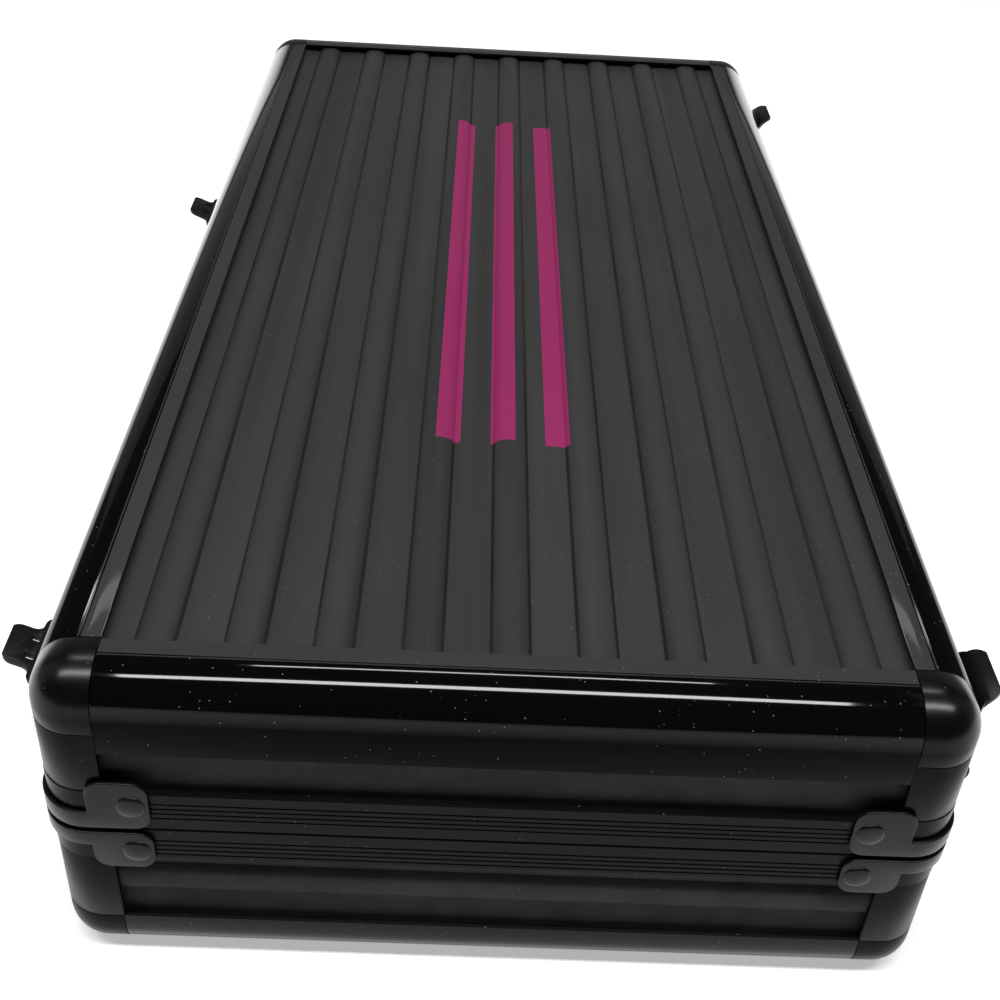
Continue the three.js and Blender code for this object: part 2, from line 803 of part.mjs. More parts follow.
function latchHook(y) {
  const half = hookThickness / 2;
  const bendAt = latchPlateFrom + hookThickness;
  const strap = [
    [hookOut - half, hookPivotUp],
    [hookOut - half, bendAt],
    [hookEndOut - half, -bendAt],
    [hookEndOut - half, -hookEndDown],
    [hookEndOut + half, -hookEndDown],
    [hookEndOut + half, -bendAt],
    [hookOut + half, bendAt],
    [hookOut + half, hookPivotUp],
  ];
  const eye = rod(hookEyeRadius, hookWidth).translate(hookPivotOut, hookPivotUp, 0);
  const trunnionLength = latchPlateWidth - 2 * (latchPlateThickness + cheekGap);
  const trunnion = rod(hookPivotRadius, trunnionLength).translate(hookPivotOut, hookPivotUp, 0);
  const end = rod(hookEndRadius, hookWidth).translate(hookEndOut, -hookEndDown, 0);
  return onRightWall(join(drawnOut(strap, hookWidth), eye, trunnion, end), y);
}

function latchKeeper(y) {
  const half = latchPlateWidth / 2;
  const face = bracketGap + latchPlateThickness;
  const plate = block([bracketGap, -keeperTo, -half], [face, -keeperFrom, half]);
  const lip = block(
    [bracketGap, -keeperLipTo, -keeperLipWidth / 2],
    [keeperLipOut, -keeperLipFrom, keeperLipWidth / 2],
  );
  return onRightWall(join(plate, lip), y);
}

// Handle
function handleBracket(side) {
  const half = handleBracketWidth / 2;
  const face = bracketGap + handleBracketThickness;
  const plate = block([bracketGap, -handleBracketTo, -half], [face, -handleBracketFrom, half]);
  const loop = rod(handleLoopRadius, handleBracketWidth).translate(handlePivotOut, -handlePivotDown, 0);
  const neck = block(
    [bracketGap, -handlePivotDown - handleLoopRadius, -half],
    [handlePivotOut, handleLoopRadius - handlePivotDown, half],
  );
  const bore = rod(handleWireRadius + handleBoreGap, handleBracketWidth + 2 * cutOverrun);
  bore.translate(handlePivotOut, -handlePivotDown, 0);
  return onRightWall(cut(join(plate, loop, neck), bore), (side * (handleSpan - handleBracketWidth)) / 2);
}

// The bail's centre line in the handle's own plane: along the case and down from the pivot
function bailLine() {
  const end = handleSpan / 2;
  const low = handleBend - handleDrop;
  return [
    [-end, 0],
    ...arc([-handleArm - handleBend, -handleBend], handleBend, 90, 0, bendSteps),
    ...arc([handleBend - handleArm, low], handleBend, 180, 270, bendSteps),
    ...arc([handleArm - handleBend, low], handleBend, 270, 360, bendSteps),
    ...arc([handleArm + handleBend, -handleBend], handleBend, 180, 90, bendSteps),
    [end, 0],
  ];
}

function handleBail() {
  const points = bailLine();
  const rings = points.map(([along, up], index) => {
    const before = points[Math.max(index - 1, 0)];
    const after = points[Math.min(index + 1, points.length - 1)];
    const way = new THREE.Vector2(after[0] - before[0], after[1] - before[1]).normalize();
    return arc([0, 0], handleWireRadius, 0, 360 - 360 / wireSides, wireSides - 1).map(
      ([out, across]) => new THREE.Vector3(out, along - way.y * across, up + way.x * across),
    );
  });
  return skinned(rings, false);
}

function handleGrip() {
  const half = handleArm - handleBend - gripEndGap;
  const bore = handleWireRadius + fitGap;
  const outer = Array.from({ length: gripRings + 1 }, (_, ring) => {
    const along = (2 * ring) / gripRings - 1;
    const swell = Math.cos((along * Math.PI) / 2) ** gripBulgeShare;
    return new THREE.Vector2(gripEndRadius + (gripRadius - gripEndRadius) * swell, along * half);
  });
  const inner = [new THREE.Vector2(bore, half), new THREE.Vector2(bore, -half)];
  return new THREE.LatheGeometry([...outer, ...inner, outer[0]], gripSides).translate(0, 0, -handleDrop);
}

function handleGroup() {
  const group = new THREE.Group();
  group.add(mesh("handle_bail", handleBail(), darkSteel), mesh("handle_grip", handleGrip(), moulded));
  group.position.set(halfWidth + handlePivotOut, 0, seamHeight - handlePivotDown);
  group.rotation.y = -THREE.MathUtils.degToRad(handleLean);
  return group;
}

function halfCase(half) {
  const group = new THREE.Group();
  const wide = half === halves.lid ? "top" : "bottom";
  group.add(mesh(`${half.name}_${wide}_panel`, widePanel(half), ribbedBlack));
  for (const side of sides) {
    group.add(mesh(`${half.name}_${side.name}_panel`, sidePanel(half, side), ribbedBlack));
    group.add(mesh(`${half.name}_${side.name}_edge`, edgeProfile(half, side), glossBlack));
  }
  for (const corner of corners) {
    group.add(mesh(`${half.name}_${corner.name}_corner`, cornerPiece(half, corner), glossBlack));
    group.add(mesh(`${half.name}_${corner.name}_bracket`, cornerBracket(half, corner), satinBlack));
  }
  group.add(mesh(`${half.name}_closure_frame`, closureFrame(half), satinBlack));
  return group;
}

function fittings() {
  const group = new THREE.Group();
  for (const [name, way] of [["front", -1], ["back", 1]]) {
    const hingeY = way * (halfLength - hingeFromEnd);
    const latchY = way * (halfLength - latchFromEnd);
    group.add(mesh(`hinge_${name}_lower_leaf`, hingeLowerLeaf(hingeY), satinBlack));
    group.add(mesh(`hinge_${name}_upper_leaf`, hingeUpperLeaf(hingeY), satinBlack));
    group.add(mesh(`hinge_${name}_pin`, hingePin(hingeY), darkSteel));
    group.add(mesh(`latch_${name}_plate`, latchPlate(latchY), satinBlack));
    group.add(mesh(`latch_${name}_lever`, latchLever(latchY), satinBlack));
    group.add(mesh(`latch_${name}_hook`, latchHook(latchY), darkSteel));
    group.add(mesh(`latch_${name}_keeper`, latchKeeper(latchY), satinBlack));
    group.add(mesh(`handle_${name}_bracket`, handleBracket(way), satinBlack));
  }
  return group;
}

const hardCase = new THREE.Group();
hardCase.add(halfCase(halves.base), halfCase(halves.lid), fittings(), handleGroup());
hardCase.add(mesh("base_foam", baseFoam(), foam), mesh("lid_foam", lidFoam(), foam));

// The origin is the middle of the whole case on the ground, hinges and handle included.
hardCase.updateMatrixWorld(true);
const whole = new THREE.Box3().setFromObject(hardCase, true);
hardCase.position.set(-(whole.min.x + whole.max.x) / 2, -(whole.min.y + whole.max.y) / 2, -whole.min.z);

export default hardCase;
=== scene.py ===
import json
import math

import bpy
from mathutils import Matrix, Vector


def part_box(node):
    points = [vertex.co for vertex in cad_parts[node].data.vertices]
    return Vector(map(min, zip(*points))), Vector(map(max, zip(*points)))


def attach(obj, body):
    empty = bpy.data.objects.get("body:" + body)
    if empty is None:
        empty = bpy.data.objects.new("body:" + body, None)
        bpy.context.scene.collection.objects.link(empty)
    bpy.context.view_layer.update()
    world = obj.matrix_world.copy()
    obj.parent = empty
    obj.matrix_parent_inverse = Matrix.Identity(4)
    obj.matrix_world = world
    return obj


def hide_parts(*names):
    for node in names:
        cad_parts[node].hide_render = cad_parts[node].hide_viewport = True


# A framed hard case for a keyboard, closed and lying flat on a pale floor.
# Sizes are in millimetres from the middle of the case, on the ground; the front end faces -Y.
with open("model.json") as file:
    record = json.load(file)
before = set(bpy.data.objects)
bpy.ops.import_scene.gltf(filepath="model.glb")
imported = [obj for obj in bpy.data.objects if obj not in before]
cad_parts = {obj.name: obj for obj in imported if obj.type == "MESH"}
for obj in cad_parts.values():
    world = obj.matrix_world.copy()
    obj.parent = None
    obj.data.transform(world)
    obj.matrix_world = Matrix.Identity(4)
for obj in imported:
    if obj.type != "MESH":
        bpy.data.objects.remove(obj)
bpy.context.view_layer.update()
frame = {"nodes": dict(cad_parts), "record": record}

MM = 0.001

# Case
CASE_WIDTH = 218.8
CASE_LENGTH = 434
LID_HEIGHT = 46.3
BASE_HEIGHT = 48.5
SEAM_GAP = 0.3
FIT_GAP = 0.2
CASE_HEIGHT = BASE_HEIGHT + LID_HEIGHT
HALF_WIDTH = CASE_WIDTH / 2
HALF_LENGTH = CASE_LENGTH / 2

# Shared by the fittings: eased edges, laps into a neighbour, what is trimmed off and how far bores run over
EASE = 0.25
SINK = 0.3
TRIM = 0.05
BORE_OVER = 4
SHEET_BEND_STEPS = 8
PLATE_CORNER_STEPS = 6

# Places closer than these are one point
NEAR = 0.01
CLOSE_WELD = 0.001
BEND_WELD = 0.002
FRAME_WELD = 0.004

# Edge profile and corner piece
EDGE_RADIUS = 11
SKIN = 1
TOP_FLANGE = 16
ROOT = 9
LEG_INSET = 1
PROFILE_GROOVE = 0.3
BALL_REACH = 15
CORNER_STEPS = 14
CORNER_EASE = 0.1
PROFILE_EASE = 0.12
RADIUS_STEPS = 20

# Ribbed panel
BOARD = 3
RIB_HEIGHT = 2
RIB_WIDTH = 9.8
RIB_PITCH = 20.5
RIB_COUNT = 9
CROWN = 0.3
ARCH_POWER = 3
RIB_STEPS = 16
CROWN_STEPS = 6
PANEL_TUCK = 13
PANEL_FACE = SKIN + FIT_GAP
BAND_FACE = PANEL_FACE + RIB_HEIGHT
PANEL_BACK = BAND_FACE + BOARD
SLOT_START = BAND_FACE - CROWN - FIT_GAP
SLOT_END = PANEL_BACK + FIT_GAP
LEG_BACK = SLOT_END + SKIN

# Printed stripes on the lid
PRINT_X = (-21, 25.5)
PRINT_Y = (-112, 122)
PRINT_BARS = 3
PRINT_SHARE = 0.45
PRINT_DARK = (0.22, 0.014, 0.085, 1)
PRINT_LIGHT = (0.28, 0.022, 0.11, 1)

# Film over this height is the lid's top, with its stripes and painted shade, darker film, at the foot of each
# rib
TOP_LEVEL = CASE_HEIGHT - PANEL_BACK + 1
CREASE = 0.6
CREASE_SHADE = 0.75

# Closure frame
CLOSURE_LIP = 1.5
CLOSURE_LEDGE = 1.2
PANEL_SEAT = 6
GROOVE_START = 3.9
GROOVE_PITCH = 1.6
GROOVE_WIDTH = 0.5
GROOVE_DEPTH = 0.5
GROOVE_COUNT = 4
FRAME_CORNER_STEPS = 12
TONGUE_WIDTH = 1.6
TONGUE_HEIGHT = 3
TONGUE_INSET = 4.2
TONGUE_SIDE_GAP = 0.3
TONGUE_SWING_GAP = 0.7

# Corner bracket
BRACKET_GAP = 0.15
BRACKET_SHEET = 1
BRACKET_END = 26.6
BRACKET_SIDE = 20.3
BRACKET_ROUND = 4
BRACKET_ROUND_STEPS = 8
BRACKET_EASE = 0.3
BRACKET_BEND_STEPS = 12
BRACKET_PLATE_FROM = 11.9
SKIRT_OUT = 0.12
SKIRT_LAP = 0.2
SKIRT_UNDER = 2
RIVET_INSET = 4.2
RIVET_RADIUS = 3.5
RIVET_RISE = 1
RIVET_SINK = 0.4
RIVET_SIDES = 32
RIVET_RINGS = 24

# Hinge
HINGE_Y = HALF_LENGTH - 72.7
HINGE_PIN_OUT = 6
HINGE_PIN_RADIUS = 1.5
HINGE_BORE_GAP = 0.15
HINGE_KNUCKLE_RADIUS = 3
HINGE_SHEET = 1.4
HINGE_WIDTH = 36
HINGE_FROM = 1.5
HINGE_TO = 13.3
HINGE_OUTER_KNUCKLE = 8.5
HINGE_KNUCKLE_GAP = 0.3
HINGE_WEB_GAP = 0.4
HINGE_PIN_HEAD_RADIUS = 2.5
HINGE_PIN_HEAD = 0.9
HINGE_PIN_HEAD_EASE = 0.35
HINGE_LEAF_CORNER = 1.5
STOP_WIDTH = 14.7
STOP_SHEET = 1.5
STOP_TIP_OUT = 30.1
STOP_DOWN = 12.5
STOP_TIP_DOWN = 9.1
STOP_TIP_RADIUS = 2.7
STOP_BEND_OUT = (21, 22, 22.8)
STOP_BEND_END = (24, -11.76)
STOP_SHELF_WIDTH = 26
STOP_SHELF_OUT = 22.3
STOP_SHELF_RADIUS = 2.5
STOP_SLOT_WIDTH = 1.6
STOP_SLOT_LENGTH = 2.4
STOP_SLOT_OUT = 22.1
STOP_SLOT_APART = 7.4
STOP_SLOT_LEVELS = (-15.5, -5)

# Latch
LATCH_Y = HALF_LENGTH - 32.3
LATCH_WIDTH = 23
LATCH_SHEET = 1.2
LATCH_FROM = 1.2
LATCH_TO = 28.5
LATCH_PIVOT_OUT = 5
LATCH_PIVOT_UP = 7.5
LATCH_PIVOT_RADIUS = 1.5
LATCH_PIVOT_GAP = 0.15
LATCH_CORNER = 2
STUB_EASE = 0.2
EAR_REACH = 7.6
EAR_RADIUS = 4
EAR_STEPS = 16
CHEEK_GAP = 0.7
CHEEK_OUT = 7.9
CHEEK_SHOULDER_UP = 13.5
CHEEK_TOP_UP = 21
LEVER_SHEET = 1.4
LEVER_WIDTH = 21.8
LEVER_TIP_WIDTH = 17.7
LEVER_TIP_RADIUS = 4.9
LEVER_TIP_STEPS = 14
LEVER_START = (4.8, 16.6)
LEVER_BOW = (4.8, 26.9)
LEVER_FLARE = (5.2, 30)
LEVER_TIP = (10.8, 31.3)
LEVER_SHOULDER_OUT = 4.9
LEVER_FOOT = 4.9
LEVER_EASE = 0.35
LEVER_STEPS = 20
HOOK_PIVOT_OUT = 3.8
HOOK_PIVOT_UP = 14.5
HOOK_PIVOT_RADIUS = 1.1
HOOK_EYE_RADIUS = 1.7
HOOK_WIDTH = 12
HOOK_RIM = 3
HOOK_SHEET = 1.2
HOOK_OUT = 2.8
HOOK_END_OUT = 4.1
HOOK_END_DOWN = 9.3
HOOK_END_RADIUS = 1.3
HOOK_BEND = 3.2
HOOK_BEND_EASE = 1.2
HOOK_WINDOW_FROM = 4
KEEPER_FROM = 1.2
KEEPER_TO = 12.3
KEEPER_LIP_OUT = 2.6
KEEPER_LIP_FROM = 5.4
KEEPER_LIP_TO = 7.4
KEEPER_LIP_WIDTH = 15
KEEPER_LIP_EASE = 0.4

# Handle
HANDLE_SPAN = 138
HANDLE_PIVOT_OUT = 5
HANDLE_PIVOT_DOWN = 6.5
HANDLE_WIRE_RADIUS = 1.8
HANDLE_BORE_GAP = 0.2
HANDLE_LOOP_RADIUS = 3.4
HANDLE_BRACKET_WIDTH = 12
HANDLE_BRACKET_SHEET = 1.4
HANDLE_BRACKET_FROM = 1.2
HANDLE_BRACKET_TO = 12.3
HANDLE_BRACKET_CORNER = 1.2
HANDLE_WIRE_SIDES = 24
HANDLE_DROP = 28
HANDLE_LEAN = 9
HANDLE_SHOULDER = 6
HANDLE_BEND = 5
HANDLE_Y = (HANDLE_SPAN - HANDLE_BRACKET_WIDTH) / 2
BEND_STEPS = 10
GRIP_END_GAP = 2
GRIP_RADIUS = 7.4
GRIP_END_RADIUS = 5.2
GRIP_BULGE = 0.12
GRIP_TRIM = 0.1
GRIP_RING = 0.9
GRIP_RING_WIDTH = 0.02
GRIP_RING_DEPTH = 0.45
GRIP_END_ROUND = ((0.8, 0), (0.2, 0.25), (0, 0.9))
GRIP_SIDES = 48
GRIP_STEPS = 60

# Foam
FOAM_GAP = 0.3
FOAM_RADIUS = 6
FOAM_CORNER_STEPS = 10
FOAM_EASE = 1.2
FOAM_SIZE = (CASE_WIDTH - 2 * (LEG_BACK + FOAM_GAP), CASE_LENGTH - 2 * (LEG_BACK + FOAM_GAP))
BASE_FOAM_DOWN = 2
CAVITY_SIZE = (146, 330)
CAVITY_DEPTH = 28
CAVITY_RADIUS = 8
CAVITY_OVER = 5
NOTCH_RADIUS = 15
NOTCH_SIDES = 64
LID_FOAM_THICK = 26
PEAK_RISE = 8
PEAK_PITCH = 29
PEAK_COLUMNS = range(-3, 4)
PEAK_ROWS = range(-6, 7)
PEAK_TIP = 2.1
PEAK_SPREAD = 0.62
LINER_GRID = (70, 145)
LINER_TRIM_BELOW = 2
LINER_TRIM_HEIGHT = 40

# For each half, face is the height of its outer face, and inward is the way from there to the seam.
# height, flange and rib are depths from that face; closure, low, strap and high are distances from the seam.
HALVES = {
    "base": dict(
        face=0,
        inward=1,
        height=BASE_HEIGHT,
        flange=15.2,
        rib=27.8,
        closure=10.4,
        low=0.4,
        strap=4.9,
        high=12.6,
    ),
    "lid": dict(
        face=CASE_HEIGHT,
        inward=-1,
        height=LID_HEIGHT,
        flange=21.1,
        rib=16.9,
        closure=12.2,
        low=1,
        strap=6.3,
        high=16.5,
    ),
}
SIDES = {
    "front": ((0, -1), HALF_LENGTH, CASE_WIDTH),
    "back": ((0, 1), HALF_LENGTH, CASE_WIDTH),
    "left": ((-1, 0), HALF_WIDTH, CASE_LENGTH),
    "right": ((1, 0), HALF_WIDTH, CASE_LENGTH),
}
CORNERS = {"front_left": (-1, -1), "front_right": (1, -1), "back_left": (-1, 1), "back_right": (1, 1)}

low_corner, high_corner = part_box("lid_closure_frame")
MIDDLE = Vector(((low_corner.x + high_corner.x) / 2, (low_corner.y + high_corner.y) / 2, 0))


def at(x, y, z):
    """A place in metres from millimetres in the case's own frame."""
    return MIDDLE + Vector((x, y, z)) * MM


def depth_at(half, depth):
    return half["face"] + half["inward"] * depth


# Drawing by hand in edit mode
def edit():
    bpy.ops.object.mode_set(mode="EDIT")


def leave():
    if bpy.context.object and bpy.context.object.mode != "OBJECT":
        bpy.ops.object.mode_set(mode="OBJECT")


def deselect():
    leave()
    bpy.ops.object.select_all(action="DESELECT")


def take(piece):
    deselect()
    piece.select_set(True)
    bpy.context.view_layer.objects.active = piece
    return piece


def name_piece(name):
    piece = bpy.context.object
    piece.name = name
    piece.data.name = name
    bpy.ops.object.transform_apply(location=True, rotation=True, scale=True)
    return piece


def select_all():
    bpy.ops.mesh.select_all(action="SELECT")


def weld(distance):
    select_all()
    bpy.ops.mesh.remove_doubles(threshold=distance * MM)


def slice_at(place, normal, **settings):
    select_all()
    bpy.ops.mesh.bisect(plane_co=place, plane_no=normal, **settings)


def start_point(name, place):
    """A piece that is one point, left in edit mode with the point selected."""
    deselect()
    bpy.ops.mesh.primitive_plane_add(size=MM, location=place)
    piece = name_piece(name)
    edit()
    bpy.ops.mesh.select_mode(type="VERT")
    select_all()
    bpy.ops.mesh.merge(type="CENTER")
    return piece


def push(step):
    bpy.ops.mesh.extrude_region_move(TRANSFORM_OT_translate={"value": step})


def draw_line(name, places, closed=False):
    """A line drawn point by point; a closed one is left with its loop selected."""
    piece = start_point(name, places[0])
    stops = places + places[:1] if closed else places
    for here, there in zip(stops, stops[1:]):
        push(there - here)
    select_all()
    if closed:
        weld(CLOSE_WELD)
    return piece


def face_out():
    select_all()
    bpy.ops.mesh.normals_make_consistent(inside=False)


def draw_out(name, places, step):
    """A closed section drawn point by point, filled and drawn out by one step."""
    piece = draw_line(name, places, closed=True)
    bpy.ops.mesh.edge_face_add()
    push(Vector(step))
    face_out()
    leave()
    return piece


def bevel(piece, width=EASE, segments=2, angle=40):
    take(piece)
    modifier = piece.modifiers.new("edges", "BEVEL")
    modifier.width = width * MM
    modifier.segments = segments
    modifier.limit_method = "ANGLE"
    modifier.angle_limit = math.radians(angle)
    bpy.ops.object.modifier_apply(modifier=modifier.name)
    return piece


def smooth(piece, angle):
    take(piece)
    bpy.ops.object.shade_smooth_by_angle(angle=math.radians(angle))
    return piece


def thicken(piece, thickness, offset=-1):
    take(piece)
    modifier = piece.modifiers.new("wall", "SOLIDIFY")
    modifier.thickness = thickness * MM
    modifier.offset = offset
    bpy.ops.object.modifier_apply(modifier=modifier.name)
    return piece


def combine(piece, *others, operation="UNION"):
    """Joins other pieces to this one, or cuts them out of it."""
    for other in others:
        take(piece)
        modifier = piece.modifiers.new("combine", "BOOLEAN")
        modifier.operation = operation
        modifier.solver = "MANIFOLD"
        modifier.object = other
        bpy.ops.object.modifier_apply(modifier=modifier.name)
        bpy.data.objects.remove(other)
    return piece


def carve(piece, *others):
    return combine(piece, *others, operation="DIFFERENCE")


def copy_of(piece, name, matrix):
    made = piece.copy()
    made.data = piece.data.copy()
    made.name = name
    made.data.name = name
    bpy.context.scene.collection.objects.link(made)
    made.data.transform(matrix)
    if matrix.determinant() < 0:
        made.data.flip_normals()
    return made


def join_all(piece, *others):
    take(piece)
    for other in others:
        other.select_set(True)
    bpy.ops.object.join()
    return piece


def select_where(piece, kind, test):
    """Selects vertices, edges or faces by their place, in edit mode."""
    leave()
    mesh = piece.data
    for part in (mesh.polygons, mesh.edges, mesh.vertices):
        part.foreach_set("select", [False] * len(part))
    parts = {"VERT": mesh.vertices, "EDGE": mesh.edges, "FACE": mesh.polygons}[kind]
    for part in parts:
        part.select = test(part)
    edit()
    bpy.ops.mesh.select_mode(type=kind)


def block(name, first, second):
    """A block between two corners."""
    deselect()
    size = [abs(value) for value in second - first]
    bpy.ops.mesh.primitive_cube_add(size=1, location=(first + second) / 2, scale=size)
    return name_piece(name)


ALONG_Y = (math.pi / 2, 0, 0)


def rod(name, place, radius, length, turn=ALONG_Y, segments=40):
    deselect()
    bpy.ops.mesh.primitive_cylinder_add(
        vertices=segments, radius=radius * MM, depth=length * MM, location=place, rotation=turn
    )
    return name_piece(name)


def arc(centre, radius, start, end, steps):
    points = []
    for step in range(steps + 1):
        angle = math.radians(start + (end - start) * step / steps)
        points.append((centre[0] + radius * math.cos(angle), centre[1] + radius * math.sin(angle)))
    return points


# Finishes
class Finish:
    """A named material with helpers to add and wire its nodes."""

    def __init__(self, name, **sockets):
        self.material = bpy.data.materials.new(name)
        self.material.use_nodes = True
        self.tree = self.material.node_tree
        self.shader = self.tree.nodes["Principled BSDF"]
        self.place = self.add("ShaderNodeTexCoord").outputs["Object"]
        for socket, value in sockets.items():
            self.shader.inputs[socket.replace("_", " ")].default_value = value

    def add(self, kind, inputs=None, **settings):
        node = self.tree.nodes.new(kind)
        for key, value in settings.items():
            setattr(node, key, value)
        for key, value in (inputs or {}).items():
            if isinstance(value, bpy.types.NodeSocket):
                self.tree.links.new(value, node.inputs[key])
            else:
                node.inputs[key].default_value = value
        return node

    def noise(self, scale, detail=4, stretch=(1, 1, 1), rough=0.55):
        mapped = self.add("ShaderNodeMapping", {"Vector": self.place, "Scale": stretch})
        node = self.add(
            "ShaderNodeTexNoise",
            {"Vector": mapped.outputs[0], "Scale": scale, "Detail": detail, "Roughness": rough},
        )
        return node.outputs["Fac"]

    def band(self, value, low, high, low_value=0.0, high_value=1.0):
        node = self.add(
            "ShaderNodeMapRange",
            {"Value": value, "From Min": low, "From Max": high, "To Min": low_value, "To Max": high_value},
        )
        return node.outputs["Result"]

    def math(self, first, second, operation="ADD"):
        node = self.add("ShaderNodeMath", operation=operation)
        for index, value in enumerate((first, second)):
            if isinstance(value, bpy.types.NodeSocket):
                self.tree.links.new(value, node.inputs[index])
            else:
                node.inputs[index].default_value = value
        return node.outputs[0]

    def times(self, first, second):
        return self.math(first, second, "MULTIPLY")

    def within(self, value, low, high):
        """1 between two bounds, and 0 outside them."""
        return self.times(self.math(value, low, "GREATER_THAN"), self.math(value, high, "LESS_THAN"))

    def mix(self, share, first, second):
        node = self.add("ShaderNodeMix", data_type="RGBA")
        self.tree.links.new(share, node.inputs["Factor"])
        colours = [socket for socket in node.inputs if socket.type == "RGBA"]
        for socket, value in zip(colours, (first, second)):
            if isinstance(value, bpy.types.NodeSocket):
                self.tree.links.new(value, socket)
            else:
                socket.default_value = value
        return [socket for socket in node.outputs if socket.type == "RGBA"][0]

    def drive(self, socket, value):
        self.tree.links.new(value, self.shader.inputs[socket])

    def bump(self, height, distance, strength=1.0, normal=None):
        inputs = {"Height": height, "Distance": distance, "Strength": strength}
        if normal is not None:
            inputs["Normal"] = normal
        return self.add("ShaderNodeBump", inputs).outputs["Normal"]

    def specks(self, scale, size, amount):
        """Dust: small dots in a few of the cells of a fine pattern."""
        cells = self.add("ShaderNodeTexVoronoi", {"Vector": self.place, "Scale": scale})
        dot = self.band(cells.outputs["Distance"], size, size * 0.5)
        colour = self.add("ShaderNodeSeparateColor", {"Color": cells.outputs["Color"]})
        drift = self.band(self.noise(38, 2), 0.35, 0.75, -amount, amount)
        some = self.band(self.math(colour.outputs[0], drift), 1 - amount, 1 - amount + 0.01)
        return self.times(dot, some)

    def rising(self, low, high, low_value, high_value):
        """A value that changes between two heights over the ground, given in millimetres."""
        height = self.add("ShaderNodeSeparateXYZ", {"Vector": self.place}).outputs["Z"]
        return self.band(height, low * MM, high * MM, low_value, high_value)


def grey(value, tint=(1, 1, 1)):
    return (value * tint[0], value * tint[1], value * tint[2], 1)


def printed_stripes(made, across, along):
    """1 on the stripes of the lid and 0 beside them."""
    low, high = (MIDDLE.x + edge * MM for edge in PRINT_X)
    count = made.band(across, low, high, 0, PRINT_BARS)
    bars = made.math(made.math(count, 0, "FRACT"), PRINT_SHARE, "LESS_THAN")
    run = made.within(along, PRINT_Y[0] * MM, PRINT_Y[1] * MM)
    return made.times(made.times(bars, made.within(count, 0, PRINT_BARS)), run)


def painted_crease_shade(made, across):
    """Painted shade at the foot of each rib: how much darker the film is there, stronger in some places than
    in others.
    """
    from_rib = made.math(made.math(across, MIDDLE.x, "SUBTRACT"), RIB_PITCH / 2 * MM, "PINGPONG")
    foot = (RIB_WIDTH / 2 - CREASE / 2) * MM
    from_foot = made.math(made.math(from_rib, foot, "SUBTRACT"), 0, "ABSOLUTE")
    crease_shade = made.band(from_foot, 0.3 * CREASE * MM, CREASE * MM, CREASE_SHADE, 0)
    return made.times(crease_shade, made.band(made.noise(14, 2), 0.35, 0.6, 0.35, 1))


def ribbed_film(name, sheen):
    """Charcoal film with fine streaks along the case; on the lid's top also stripes and painted shade at the
    foot of each rib.
    """
    made = Finish(name, Specular_IOR_Level=sheen)
    split = made.add("ShaderNodeSeparateXYZ", {"Vector": made.place})
    across, along, height = (split.outputs[axis] for axis in "XYZ")
    cloud = made.noise(7, 3)
    fine = made.noise(420, 3)
    dust = made.specks(900, 0.15, 0.06)
    streak = made.band(made.noise(110, 3, (1, 0.02, 1)), 0.35, 0.65)
    dark = made.mix(streak, grey(0.017), grey(0.024))
    light = made.mix(streak, grey(0.033), grey(0.045))
    base = made.mix(cloud, dark, light)
    top = made.math(height, TOP_LEVEL * MM, "GREATER_THAN")
    # Painted shade: on the lid's top the film goes dark at the foot of each rib
    base = made.mix(made.times(painted_crease_shade(made, across), top), base, grey(0.004))
    printed = made.times(printed_stripes(made, across, along), top)
    base = made.mix(printed, base, made.mix(cloud, PRINT_DARK, PRINT_LIGHT))
    made.drive("Base Color", made.mix(dust, base, grey(0.22)))
    wear = made.band(made.noise(28, 5, (1, 0.25, 1)), 0.3, 0.7, 0.36, 0.46)
    made.drive("Roughness", made.math(wear, made.band(fine, 0, 1, -0.03, 0.03)))
    made.drive("Normal", made.bump(fine, 0.00006, 0.6))
    return made.material


def gloss_profile():
    """Gloss black on the rounds; greyer on the lid's flat flange as a painted sheen, and on the lower profile
    as a painted reflection.
    """
    made = Finish("gloss black anodised profile", Specular_IOR_Level=0.02, Coat_Roughness=0.06, Coat_IOR=1.37)
    smear = made.noise(11, 4)
    fine = made.noise(900, 2)
    dust = made.specks(900, 0.17, 0.12)
    flat = made.rising(CASE_HEIGHT - 0.02, CASE_HEIGHT - 0.01, 0, 1)
    low = made.rising(HALVES["base"]["flange"], HALVES["base"]["flange"] + 0.1, 1, 0)
    black = made.mix(smear, grey(0.0008), grey(0.0016))
    # Painted sheen: the lid's flat flange is coloured grey in place of the satin reflection it shows
    base = made.mix(flat, black, made.mix(smear, grey(0.03), grey(0.042)))
    # Painted reflection: the lower profile is coloured grey in place of the light it catches from the floor
    base = made.mix(low, base, made.mix(smear, grey(0.006), grey(0.012)))
    worn = made.band(low, 0, 1, 0, 0.4)
    polish = made.math(made.rising(CASE_HEIGHT - EDGE_RADIUS, CASE_HEIGHT - EDGE_RADIUS / 2, 0, 1), worn)
    made.drive("Coat Weight", made.times(polish, made.band(flat, 0, 1, 1, 0.15)))
    made.drive("Base Color", made.mix(dust, base, grey(0.2)))
    handled = made.math(made.band(smear, 0.42, 0.7, 0.04, 0.09), made.band(flat, 0, 1, 0, 0.3))
    made.drive("Roughness", made.math(handled, made.band(dust, 0, 1, 0, 0.3)))
    made.drive("Normal", made.bump(fine, 0.00001, 0.25))
    return made.material


